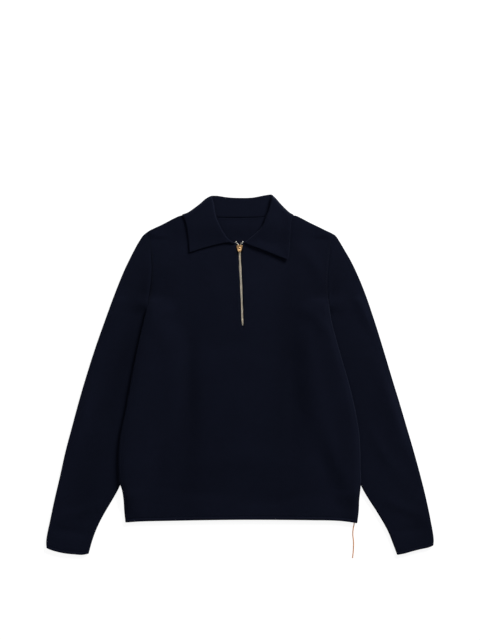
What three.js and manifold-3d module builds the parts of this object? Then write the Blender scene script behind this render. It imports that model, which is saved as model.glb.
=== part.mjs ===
// Quarter zip sweater with a polo collar, laid flat on its back. Millimetres, +Z up, +Y to the neck, +X to the
// wearer's left sleeve. The origin is the middle of the footprint, on the surface it lies on.
import * as THREE from "three";
import { mergeVertices } from "three/addons/utils/BufferGeometryUtils.js";
import Module from "manifold-3d";

const wasm = await Module();
wasm.setup();

// Driving sizes
const wall = 2.6; // knitted cloth
const layGap = 1.7; // air between the front and the back as they lie
const seamGap = 0.3;
const stack = 2 * wall + layGap; // front and back together
const foldR = stack / 2; // outer radius of a folded side
const sleeveGap = 1.2;
const sleeveStack = 2 * wall + sleeveGap;
const tuckLift = sleeveStack + 0.4; // how far a body side is raised by the sleeve under it
const tuckMargin = 11; // level stretch past the sleeve's edge
const tuckRampX = 62;
const tuckRampY = 46;
const tuckLevelTop = 14; // the body stays raised this far past the tucked stretch's top
const tuckLevelEnd = 6; // and past its lower end
const collarLift = wall + seamGap; // the back rests on the collar's fall here
const collarRamp = 44;
const collarLevel = 3; // the body stays raised this far past the edge of the fall
const collarHalf = 124; // half the width over which the collar raises the body
const leafGap = 0.6; // a leaf above the front
const least = 0.4; // thinnest edge where several folds meet
const joinOverlap = 0.05; // how far two walls reach into each other where they are one piece
const leastStep = 0.05; // shortest edge that a join or cut leaves
const edgeSteps = [0.15, 1.1, 2.7, 3.5]; // finer rows beside a folded edge

// Body: its side edges as they show, from hem to shoulder point
const sideRows = [
  { y: -316, right: -240.4, left: 246.2 },
  { y: -284, right: -243.6, left: 249.9 },
  { y: -263, right: -244.6, left: 250.4 },
  { y: -242, right: -247.6, left: 252.4 },
  { y: -226, right: -252.6, left: 253.9 },
  { y: -200, right: -254.5, left: 253.0 },
  { y: -158, right: -254.2, left: 252.0 },
  { y: -122, right: -250.1, left: 249.8 },
  { y: -78, right: -240.4, left: 242.6 },
  { y: -21, right: -230.2, left: 229.2 },
  { y: 42, right: -218.0, left: 211.0 },
  { y: 77, right: -210.4, left: 201.0 },
  { y: 115, right: -201.6, left: 191.6 },
  { y: 144, right: -195.0, left: 187.4 },
  { y: 188, right: -188.6, left: 184.6 },
  { y: 220, right: -186.0, left: 185.4 },
  { y: 260, right: -188.4, left: 189.4 },
  { y: 294, right: -195.4, left: 196.2 },
];
const hemRows = [
  { x: -260, y: -311.2 },
  { x: -240, y: -310.4 },
  { x: -213, y: -308.6 },
  { x: -150, y: -307.1 },
  { x: -75, y: -305.7 },
  { x: 0, y: -304.9 },
  { x: 75, y: -305.0 },
  { x: 152, y: -305.8 },
  { x: 202, y: -306.8 },
  { x: 228, y: -309.2 },
  { x: 247, y: -312.2 },
  { x: 260, y: -313.4 },
];
const shoulderRows = [
  { x: -200, y: 295.6 },
  { x: -190.1, y: 302.7 },
  { x: -163.4, y: 315.4 },
  { x: -136.3, y: 327.8 },
  { x: -124, y: 331.4 },
  { x: -110, y: 331.4 },
  { x: -90, y: 336 },
  { x: 0, y: 336 },
  { x: 90, y: 336 },
  { x: 106, y: 331 },
  { x: 117, y: 330.6 },
  { x: 126, y: 328.0 },
  { x: 141, y: 321.6 },
  { x: 168.4, y: 309.2 },
  { x: 193.4, y: 296.6 },
  { x: 200, y: 292.8 },
];
const neckHalf = 88; // half the neck's width between the shoulder seams
const frontNeckRows = [
  { x: -88, y: 336 },
  { x: -84, y: 325.0 },
  { x: -71.6, y: 305.0 },
  { x: -54.8, y: 291.5 },
  { x: -33.8, y: 282.0 },
  { x: -21.2, y: 277.7 },
  { x: -9.7, y: 273.8 },
  { x: 9.7, y: 274.8 },
  { x: 20.8, y: 279.4 },
  { x: 46, y: 288.6 },
  { x: 67, y: 301.9 },
  { x: 83, y: 322.9 },
  { x: 88, y: 336 },
];
const backNeckRows = [
  { x: -88, y: 336 },
  { x: -76, y: 333.4 },
  { x: -52, y: 330.4 },
  { x: 40, y: 330.4 },
  { x: 76, y: 333.4 },
  { x: 88, y: 336 },
];

// Sleeves: outer edge, and inner edge, which lies under the body down to the fork
const sleeves = {
  sleeve_right: {
    outer: [
      { y: -372, x: -405.6 },
      { y: -358, x: -407.5 },
      { y: -348, x: -407.4 },
      { y: -306, x: -399.2 },
      { y: -264, x: -390.4 },
      { y: -222, x: -380.5 },
      { y: -159, x: -366.4 },
      { y: -117, x: -355.2 },
      { y: -54, x: -338.2 },
      { y: -12, x: -325.9 },
      { y: 51, x: -306.0 },
      { y: 114, x: -283.9 },
      { y: 177, x: -260.6 },
      { y: 219, x: -243.4 },
      { y: 240, x: -233.4 },
      { y: 259, x: -223.8 },
      { y: 278, x: -213.4 },
      { y: 290, x: -205.4 },
      { y: 299, x: -198.0 },
    ],
    inner: [
      { y: -382, x: -319.8 },
      { y: -348, x: -310.4 },
      { y: -327, x: -302.8 },
      { y: -306, x: -293.2 },
      { y: -285, x: -281.6 },
      { y: -264, x: -269.1 },
      { y: -241, x: -256.2 },
      { y: -190, x: -233.3 },
      { y: -137, x: -210.2 },
      { y: -74, x: -189.2 },
      { y: -11, x: -174.4 },
      { y: 52, x: -172.0 },
      { y: 84, x: -180.0 },
      { y: 112, x: -196.0 },
      { y: 122, x: -201.0 },
    ],
    cuff: [
      { x: -410, y: -361.0 },
      { x: -404, y: -365.4 },
      { x: -381, y: -373.0 },
      { x: -365, y: -376.0 },
      { x: -348, y: -377.6 },
      { x: -331, y: -378.5 },
      { x: -314, y: -375.0 },
    ],
  },
  sleeve_left: {
    outer: [
      { y: -372, x: 404.8 },
      { y: -356, x: 407.0 },
      { y: -348, x: 407.5 },
      { y: -306, x: 400.9 },
      { y: -264, x: 392.2 },
      { y: -222, x: 382.0 },
      { y: -159, x: 364.9 },
      { y: -117, x: 352.6 },
      { y: -54, x: 334.0 },
      { y: -12, x: 321.1 },
      { y: 51, x: 302.2 },
      { y: 114, x: 282.6 },
      { y: 177, x: 260.8 },
      { y: 219, x: 243.0 },
      { y: 240, x: 232.6 },
      { y: 259, x: 221.6 },
      { y: 278, x: 210.4 },
      { y: 290, x: 202.4 },
      { y: 299, x: 196.6 },
    ],
    inner: [
      { y: -382, x: 331.6 },
      { y: -351, x: 320.0 },
      { y: -330, x: 311.6 },
      { y: -314, x: 303.2 },
      { y: -286, x: 286.4 },
      { y: -260, x: 269.6 },
      { y: -241, x: 258.4 },
      { y: -190, x: 235.8 },
      { y: -137, x: 212.7 },
      { y: -74, x: 191.7 },
      { y: -11, x: 176.9 },
      { y: 52, x: 172.5 },
      { y: 84, x: 176.0 },
      { y: 112, x: 187.0 },
      { y: 122, x: 191.0 },
    ],
    cuff: [
      { x: 410, y: -355.6 },
      { x: 404, y: -359.8 },
      { x: 395, y: -363.4 },
      { x: 379, y: -366.8 },
      { x: 362, y: -371.2 },
      { x: 345, y: -376.0 },
      { x: 331, y: -378.5 },
      { x: 314, y: -380.0 },
    ],
  },
};
const tuckTop = 116; // height at which a sleeve starts to lie under the body
const tuckEnd = -240; // the fork, where it comes out again
const sleeveTop = 297;

// Collar: stations from the front end of the strip to the corner of its back fold
const leaves = {
  right: {
    side: -1,
    roll: [
      { x: -9.4, y: 275.0 },
      { x: -23.9, y: 284.2 },
      { x: -36.0, y: 301.0 },
      { x: -50.6, y: 332.3 },
      { x: -56.5, y: 364.0 },
      { x: -60.0, y: 375.6 },
    ],
    edge: [
      { x: -106.3, y: 256.4 },
      { x: -107.4, y: 276.0 },
      { x: -110.2, y: 301.9 },
      { x: -115.4, y: 325.0 },
      { x: -120.4, y: 333.4 },
      { x: -122.5, y: 336.8 },
    ],
    brim: [
      { x: -60.0, y: 375.6 },
      { x: -70.8, y: 371.2 },
      { x: -84.0, y: 359.6 },
      { x: -101.2, y: 347.0 },
      { x: -109.2, y: 341.4 },
      { x: -122.5, y: 336.8 },
    ],
    end: [
      { x: -9.4, y: 275.0 },
      { x: -26.2, y: 277.6 },
      { x: -69.5, y: 267.8 },
      { x: -106.3, y: 256.4 },
    ],
  },
  left: {
    side: 1,
    roll: [
      { x: 9.4, y: 276.6 },
      { x: 21.0, y: 287.2 },
      { x: 43.3, y: 307.0 },
      { x: 54.0, y: 330.0 },
      { x: 63.4, y: 356.0 },
      { x: 67.0, y: 377.0 },
    ],
    edge: [
      { x: 100.6, y: 240.8 },
      { x: 103.6, y: 262.0 },
      { x: 105.4, y: 300.0 },
      { x: 107.4, y: 325.0 },
      { x: 111.2, y: 333.0 },
      { x: 113.5, y: 336.2 },
    ],
    brim: [
      { x: 67.0, y: 377.0 },
      { x: 76.4, y: 369.0 },
      { x: 84.4, y: 359.8 },
      { x: 97.4, y: 347.2 },
      { x: 104.2, y: 341.2 },
      { x: 113.5, y: 336.2 },
    ],
    end: [
      { x: 9.4, y: 276.6 },
      { x: 52.3, y: 260.2 },
      { x: 92.2, y: 244.0 },
      { x: 100.6, y: 240.8 },
    ],
  },
};
const backFold = [
  { x: -60.0, y: 375.6 },
  { x: -49.6, y: 375.4 },
  { x: -24.4, y: 371.8 },
  { x: 0, y: 370.6 },
  { x: 26.0, y: 371.6 },
  { x: 51.2, y: 376.4 },
  { x: 64.9, y: 378.5 },
  { x: 67.0, y: 377.0 },
];
const fallEdgeY = 320; // lower edge of the fall behind the neck
const fallRows = [
  { x: -108, y: 322 },
  { x: -70, y: fallEdgeY },
  { x: 0, y: fallEdgeY },
  { x: 70, y: fallEdgeY },
  { x: 104, y: 322 },
];

// Zip
const zipLine = [
  { y: 96, x: 5.9 },
  { y: 136, x: 4.4 },
  { y: 178, x: 2.9 },
  { y: 220, x: 0.9 },
  { y: 258, x: -0.7 },
  { y: 282, x: -1.2 },
];
const zipEndY = 102.5;
const slitHalf = 2.9;
const chainHalf = 2.3;
const chainThick = 2.4;
const tapeWidth = 13;
const tapeThick = 0.8;
const tapeZ = wall + 0.3;
const chainZ = tapeZ + tapeThick + seamGap;
const sliderTopY = 272.6;
const sliderLength = 12;
const sliderHalf = 5.4;
const sliderNeckHalf = 4.0;
const plateThick = 1.3;
const bridgeR = 2.3; // middle radius of the arch that holds the pull
const bridgeBar = 0.8;
const bridgeWidth = 1.8;
const pullLength = 9.6;
const pullHalf = 3.1;
const pullThick = 1.1;
const windowLength = 2.9; // hole in the pull that the arch stands in
const pinRise = 0.95; // turning axis of the pull above the slider's plate

// Thread
const threadDiameter = 2.2;
const threadRoute = [
  { x: 240.2, y: -311.55, z: 1.4 },
  { x: 239.7, y: -316.5, z: 1.25 },
  { x: 238.9, y: -320.5, z: 1.2 },
  { x: 238.1, y: -325.0, z: 1.2 },
  { x: 237.6, y: -330.0, z: 1.2 },
  { x: 237.4, y: -335.0, z: 1.2 },
  { x: 237.7, y: -340.5, z: 1.2 },
  { x: 238.4, y: -346.0, z: 1.2 },
  { x: 239.0, y: -351.5, z: 1.2 },
  { x: 239.1, y: -357.0, z: 1.2 },
  { x: 238.9, y: -362.5, z: 1.2 },
  { x: 238.6, y: -368.0, z: 1.2 },
  { x: 238.1, y: -374.0, z: 1.2 },
  { x: 237.5, y: -380.0, z: 1.2 },
  { x: 237.0, y: -385.8, z: 1.2 },
];

const navyKnit = new THREE.MeshStandardMaterial({ color: "#10131f", roughness: 0.95, metalness: 0 });
const navyTape = new THREE.MeshStandardMaterial({ color: "#0c0e18", roughness: 0.85, metalness: 0 });
const paleMetal = new THREE.MeshStandardMaterial({ color: "#d9cdb4", roughness: 0.35, metalness: 1 });
const bronze = new THREE.MeshStandardMaterial({ color: "#b18a4f", roughness: 0.32, metalness: 1 });
const peachThread = new THREE.MeshStandardMaterial({ color: "#e0a474", roughness: 0.8, metalness: 0 });

// Value of a table at a place, as a smooth curve through its rows
function along(rows, key, value, at) {
  const ascending = rows[0][key] < rows[rows.length - 1][key];
  const list = ascending ? rows : [...rows].reverse();
  const last = list.length - 1;
  if (at <= list[0][key]) return list[0][value];
  if (at >= list[last][key]) return list[last][value];
  const i = list.findIndex((row) => row[key] > at) - 1;
  const slope = (a, b) => (list[b][value] - list[a][value]) / (list[b][key] - list[a][key]);
  const step = list[i + 1][key] - list[i][key];
  const m0 = i > 0 ? (slope(i - 1, i) + slope(i, i + 1)) / 2 : slope(i, i + 1);
  const m1 = i + 1 < last ? (slope(i, i + 1) + slope(i + 1, i + 2)) / 2 : slope(i, i + 1);
  const t = (at - list[i][key]) / step;
  const a = list[i][value];
  const b = list[i + 1][value];
  const bend = (1 - t) * m0 * step - t * m1 * step - (1 - 2 * t) * (b - a);
  return a + (b - a) * t + t * (1 - t) * bend;
}

const mix = (a, b, t) => a + (b - a) * t;
const clamp01 = (t) => Math.min(1, Math.max(0, t));
const smooth = (t) => clamp01(t) ** 2 * (3 - 2 * clamp01(t));

function distanceTo(line, x, y) {
  let best = Infinity;
  for (let i = 0; i + 1 < line.length; i++) {
    const a = line[i];
    const dx = line[i + 1].x - a.x;
    const dy = line[i + 1].y - a.y;
    const t = clamp01(((x - a.x) * dx + (y - a.y) * dy) / (dx * dx + dy * dy));
    best = Math.min(best, Math.hypot(x - a.x - t * dx, y - a.y - t * dy));
  }
  return best;
}

// How far the body's lower face stands off the surface, over the tucked sleeves and the collar's fall
function lift(x, y) {
  let share = 0;
  for (const sleeve of Object.values(sleeves)) {
    const side = Math.sign(sleeve.outer[0].x);
    const inner = along(sleeve.inner, "y", "x", Math.min(tuckTop, Math.max(tuckEnd, y)));
    const across = Math.max(0, side * (inner - x) - tuckMargin) / tuckRampX;
    const down = Math.max(0, y - tuckTop - tuckLevelTop, tuckEnd - tuckLevelEnd - y) / tuckRampY;
    share = Math.max(share, 1 - smooth(Math.hypot(across, down)));
  }
  const fall = 1 - smooth((fallEdgeY - collarLevel - y) / collarRamp);
  const nearNeck = 1 - smooth((Math.abs(x) - collarHalf) / collarRamp);
  return Math.max(tuckLift * share, collarLift * fall * nearNeck);
}

// Half heights of a fold's outer and inner face, at a distance from its edge
const outerHalf = (d, r) => (d >= r ? r : Math.sqrt(Math.max(0, r * r - (r - d) ** 2)));
const innerHalf = (d, r, closed) => (d <= wall ? closed : Math.max(closed, outerHalf(d - wall, r - wall)));

// Closed wall over a grid of points that have an x, a y, a top and a bottom
function slab(grid) {
  const rows = grid.length;
  const columns = grid[0].length;
  const position = [];
  for (const key of ["top", "bottom"])
    for (const row of grid) for (const p of row) position.push(p.x, p.y, p[key]);
  const at = (i, j, under) => under * rows * columns + i * columns + j;
  const index = [];
  const quad = (a, b, c, d) => index.push(a, b, c, a, c, d);
  for (let i = 0; i + 1 < rows; i++)
    for (let j = 0; j + 1 < columns; j++) {
      quad(at(i, j, 0), at(i, j + 1, 0), at(i + 1, j + 1, 0), at(i + 1, j, 0));
      quad(at(i, j, 1), at(i + 1, j, 1), at(i + 1, j + 1, 1), at(i, j + 1, 1));
    }
  for (let j = 0; j + 1 < columns; j++) {
    quad(at(0, j, 1), at(0, j + 1, 1), at(0, j + 1, 0), at(0, j, 0));
    quad(at(rows - 1, j, 0), at(rows - 1, j + 1, 0), at(rows - 1, j + 1, 1), at(rows - 1, j, 1));
  }
  for (let i = 0; i + 1 < rows; i++) {
    quad(at(i, 0, 0), at(i + 1, 0, 0), at(i + 1, 0, 1), at(i, 0, 1));
    quad(at(i, columns - 1, 1), at(i + 1, columns - 1, 1), at(i + 1, columns - 1, 0), at(i, columns - 1, 0));
  }
  const geometry = new THREE.BufferGeometry();
  geometry.setAttribute("position", new THREE.Float32BufferAttribute(position, 3));
  geometry.setIndex(index);
  return geometry;
}

function solid(geometry) {
  const plain = geometry.clone();
  plain.deleteAttribute("normal");
  plain.deleteAttribute("uv");
  const merged = mergeVertices(plain, 1e-4);
  const made = new wasm.Manifold(
    new wasm.Mesh({
      numProp: 3,
      vertProperties: merged.attributes.position.array,
      triVerts: new Uint32Array(merged.index.array),
    }),
  );
  if (made.volume() > 0) return made;
  const flipped = new Uint32Array(merged.index.array);
  for (let i = 0; i < flipped.length; i += 3) [flipped[i + 1], flipped[i + 2]] = [flipped[i + 2], flipped[i + 1]];
  const vertProperties = merged.attributes.position.array;
  return new wasm.Manifold(new wasm.Mesh({ numProp: 3, vertProperties, triVerts: flipped }));
}

function geometryOf(made) {
  const mesh = made.getMesh();
  const geometry = new THREE.BufferGeometry();
  geometry.setAttribute("position", new THREE.BufferAttribute(mesh.vertProperties, 3));
  geometry.setIndex(new THREE.BufferAttribute(mesh.triVerts, 1));
  return geometry.toNonIndexed();
}

// The same body without the short edges and thin slivers that a join or cut leaves
function cleaned(made) {
  const mesh = made.getMesh();
  const points = [];
  for (let i = 0; i < mesh.vertProperties.length; i += 3)
    points.push(new THREE.Vector3().fromArray(mesh.vertProperties, i));
  let faces = [];
  for (let i = 0; i < mesh.triVerts.length; i += 3) faces.push([...mesh.triVerts.slice(i, i + 3)]);
  const thin = ([a, b, c]) => {
    const sides = [points[a].distanceTo(points[b]), points[b].distanceTo(points[c]), points[c].distanceTo(points[a])];
    const doubleArea = new THREE.Vector3()
      .subVectors(points[b], points[a])
      .cross(new THREE.Vector3().subVectors(points[c], points[a]))
      .length();
    return { height: doubleArea / Math.max(...sides), longest: sides.indexOf(Math.max(...sides)) };
  };
  for (let pass = 0, changed = true; changed && pass < 60; pass++) {
    changed = false;
    const near = points.map(() => new Set());
    for (const face of faces) for (const a of face) for (const b of face) if (a !== b) near[a].add(b);
    const used = new Set();
    const touch = (a) => [a, ...near[a]].forEach((v) => used.add(v));
    const becomes = new Map();
    for (const [a, others] of near.entries())
      for (const b of others) {
        if (b < a || used.has(a) || used.has(b) || points[a].distanceTo(points[b]) >= leastStep) continue;
        if ([...others].filter((v) => near[b].has(v)).length !== 2) continue;
        touch(a);
        touch(b);
        becomes.set(b, a);
        changed = true;
      }
    faces = faces
      .map((face) => face.map((v) => becomes.get(v) ?? v))
      .filter(([a, b, c]) => a !== b && b !== c && c !== a);
    const across = new Map();
    faces.forEach((face, i) => face.forEach((v, k) => across.set(`${v},${face[(k + 1) % 3]}`, i)));
    faces.forEach((face, i) => {
      const { height, longest } = thin(face);
      if (height >= leastStep / 4 || face.some((v) => used.has(v))) return;
      const [a, b, c] = [0, 1, 2].map((k) => face[(longest + k) % 3]);
      const other = across.get(`${b},${a}`);
      const d = faces[other].find((v) => v !== a && v !== b);
      if (used.has(d) || across.has(`${c},${d}`) || across.has(`${d},${c}`)) return;
      const flipped = [
        [a, d, c],
        [d, b, c],
      ];
      if (Math.min(...flipped.map((f) => thin(f).height)) <= height) return;
      [a, b, c, d].forEach(touch);
      [faces[i], faces[other]] = flipped;
      changed = true;
    });
  }
  const vertProperties = new Float32Array(points.flatMap((p) => p.toArray()));
  return new wasm.Manifold(new wasm.Mesh({ numProp: 3, vertProperties, triVerts: new Uint32Array(faces.flat()) }));
}

// One body from walls that reach into each other, without slivers that the join leaves between them
function joined(geometries) {
  const bodies = geometries.map(solid).reduce((all, piece) => all.add(piece)).decompose();
  return cleaned(bodies.reduce((best, body) => (body.volume() > best.volume() ? body : best)));
}

// Places along a span: fine steps beside each folded end, even ones between
function places(span, even, fineStart, fineEnd) {
  const first = fineStart ? edgeSteps : [0];
  const last = (fineEnd ? edgeSteps : [0]).map((d) => span - d).reverse();
  const from = first[first.length - 1];
  const to = last[0];
  const between = Array.from({ length: even - 1 }, (_, k) => mix(from, to, (k + 1) / even));
  return [...first, ...between, ...last];
}

const closing = 1.4; // rows stand closer together towards the top

// Plan of a panel: rows from its lower edge up, columns from right to left
function plan({ bottom, top, right, left, rows, columns, fineTop = false }) {
  const inset = edgeSteps[edgeSteps.length - 1];
  const point = (u, v) => {
    let x = mix(right(0), left(0), u.share);
    let y = 0;
    for (let k = 0; k < 6; k++) {
      const low = bottom(x);
      const high = top(x);
      y = v.fromTop === undefined ? mix(low, high - v.rest, v.share) : high - v.fromTop;
      const fit = Math.min(1, (0.4 * (left(y) - right(y))) / inset);
      x = mix(right(y) + u.inset * fit, left(y) - u.outset * fit, u.share);
    }
    return { x, y };
  };
  const rest = fineTop ? inset : 0;
  const vs = Array.from({ length: rows + 1 }, (_, k) => ({ share: 1 - (1 - k / rows) ** closing, rest }));
  if (fineTop) for (const d of [...edgeSteps].reverse().slice(1)) vs.push({ fromTop: d });
  const us = columns.map((share) => ({ share, inset, outset: inset }));
  const fine = edgeSteps.slice(0, -1);
  us.unshift(...fine.map((d) => ({ share: 0, inset: d, outset: 0 })));
  us.push(...fine.map((d) => ({ share: 1, inset: 0, outset: d })).reverse());
  return vs.map((v) => us.map((u) => point(u, v)));
}

// Front and back panels
const armholeLow = 150;
const armholeHigh = 285;
const sideAt = (key) => (y) => along(sideRows, "y", key, y);
const hemAt = (x) => along(hemRows, "x", "y", x);
const shoulderAt = (x) => along(shoulderRows, "x", "y", x);

function bodyHeights({ x, y }) {
  const dRight = x - sideAt("right")(y);
  const dLeft = sideAt("left")(y) - x;
  const open = smooth((y - armholeLow) / 12) * (1 - smooth((y - armholeHigh) / 6));
  const dSide = Math.min(dRight, dLeft);
  const shoulder = shoulderAt(x) - y;
  const dTop = Math.abs(x) > neckHalf ? Math.max(shoulder, edgeSteps[0]) : Infinity;
  const sealed = Math.min(mix(dSide, foldR * 2, open), dTop);
  const middle = lift(x, y) + foldR;
  const outer = outerHalf(Math.max(sealed, edgeSteps[0]), foldR);
  const inner = innerHalf(sealed, foldR, seamGap / 2);
  return { middle, outer, inner };
}

const columnHalf = 192; // the columns are set out on half this width and stretched to the panel's
const bodyColumns = [-columnHalf, -177, -161, -144, -126, -106, -88.3, -87, -84, -76, -64, -48, -30, -10];
const columnShares = [...bodyColumns, ...bodyColumns.map((x) => -x).reverse()].map((x) => 0.5 + x / columnHalf / 2);
const bodyRows = 23;

const bodyPlan = (neckRows) =>
  plan({
    bottom: hemAt,
    top: (x) => (Math.abs(x) < neckHalf ? along(neckRows, "x", "y", x) : shoulderAt(x)),
    right: sideAt("right"),
    left: sideAt("left"),
    rows: bodyRows,
    columns: columnShares,
    fineTop: true,
  });

function frontWall() {
  const grid = bodyPlan(frontNeckRows).map((row) =>
    row.map((p) => {
      const { middle, outer, inner } = bodyHeights(p);
      return { ...p, top: middle + outer, bottom: middle + inner };
    }),
  );
  return cleaned(solid(slab(grid)).subtract(solid(slitCutter())));
}

function backWall() {
  const grid = bodyPlan(backNeckRows).map((row) =>
    row.map((p) => {
      const { middle, outer, inner } = bodyHeights(p);
      return { ...p, top: middle - inner, bottom: middle - outer };
    }),
  );
  return solid(slab(grid));
}

// Opening for the zip: as wide as the slider at the neck, then along the chain to a point
const cutTop = 30; // the cutter reaches past both faces of the front and past its neck edge
const cutBottom = -5;
const cutEndY = 300;
const slitLow = zipEndY - 1;

function slitHalfAt(y) {
  const atSlider = smooth((y - (sliderTopY - sliderLength - 10)) / 8);
  return mix(1.4, slitHalf, smooth((y - slitLow) / 26)) + (sliderHalf + 0.6 - slitHalf) * atSlider;
}

function slitCutter() {
  const steps = 30;
  const grid = Array.from({ length: steps + 1 }, (_, k) => {
    const y = mix(slitLow, cutEndY, k / steps);
    const x = along(zipLine, "y", "x", y);
    return [-1, 1].map((side) => ({ x: x + side * slitHalfAt(y), y, top: cutTop, bottom: cutBottom }));
  });
  return slab(grid);
}

// Sleeve: an upper and a lower wall that meet at both folded edges, open at the armhole and the cuff
function sleeveWall(table) {
  const side = Math.sign(table.outer[0].x);
  const armhole = (y) => sideAt(side < 0 ? "right" : "left")(y) + side * seamGap;
  const outerEdge = (y) => along(table.outer, "y", "x", y);
  const innerEdge = (y) => {
    const hidden = along(table.inner, "y", "x", y);
    const join = smooth((y - tuckTop + 4) / 10);
    return y > tuckTop + 6 ? armhole(y) : mix(hidden, armhole(y), join);
  };
  const flat = plan({
    bottom: (x) => along(table.cuff, "x", "y", x),
    top: () => sleeveTop,
    right: side < 0 ? outerEdge : innerEdge,
    left: side < 0 ? innerEdge : outerEdge,
    rows: 24,
    columns: [0, 0.2, 0.5, 0.8, 1],
  });
  const half = sleeveStack / 2;
  const heights = ({ x, y }) => {
    const open = smooth((y - armholeLow) / 12);
    const dOuter = Math.abs(outerEdge(y) - x);
    const dInner = Math.abs(x - innerEdge(y));
    const d = Math.max(edgeSteps[0], Math.min(dOuter, mix(dInner, 2 * half, open)));
    const crown = (foldR - half) * smooth((y - tuckTop - 4) / tuckRampY) * smooth((dOuter - 4) / 20);
    return { middle: half + crown, outer: outerHalf(d, half) + crown, inner: innerHalf(d, half, -joinOverlap) };
  };
  const sheet = (sign) =>
    slab(
      flat.map((row) =>
        row.map((p) => {
          const { middle, outer, inner } = heights(p);
          const far = middle + sign * outer;
          const near = middle + sign * inner;
          return { ...p, top: Math.max(far, near), bottom: Math.min(far, near) };
        }),
      ),
    );
  return joined([sheet(1), sheet(-1)]);
}

// Patch between four edges: near and far run the same way, start and stop join their ends
function resample(line, shares) {
  const points = line.map((p) => new THREE.Vector3(p.x, p.y, 0));
  const curve = new THREE.CatmullRomCurve3(points, false, "centripetal");
  return shares.map((t) => curve.getPointAt(t));
}

function patch({ near, far, start, stop, across, along: lengthwise }) {
  const n = resample(near, lengthwise);
  const f = resample(far, lengthwise);
  const a = resample(start, across);
  const b = resample(stop, across);
  const corner = [n[0], f[0], n[n.length - 1], f[f.length - 1]];
  return lengthwise.map((v, i) =>
    across.map((u, j) => {
      const blend = (k) =>
        mix(n[i][k], f[i][k], u) +
        mix(a[j][k], b[j][k], v) -
        mix(mix(corner[0][k], corner[1][k], u), mix(corner[2][k], corner[3][k], u), v);
      return { x: blend("x"), y: blend("y") };
    }),
  );
}

function shares(span, even, fineStart, fineEnd) {
  return places(span, even, fineStart, fineEnd).map((d) => clamp01(d / span));
}
const rounded = (list) => list.map((t, k) => (k === 0 ? 0 : k === list.length - 1 ? 1 : t));

// Collar: leaves over their stand in front, stand over the fall behind, all one folded strip
const leafUnder = (x, y) => lift(x, y) + stack + leafGap;
const brimR = (collarLift + stack + leafGap + wall) / 2;
const rollR = wall + leafGap / 2; // fold of a leaf over its stand
const backR = wall + seamGap / 2; // fold over the back of the neck
const neckGap = 0.9; // between the strip and the neck edge it is linked to

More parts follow.
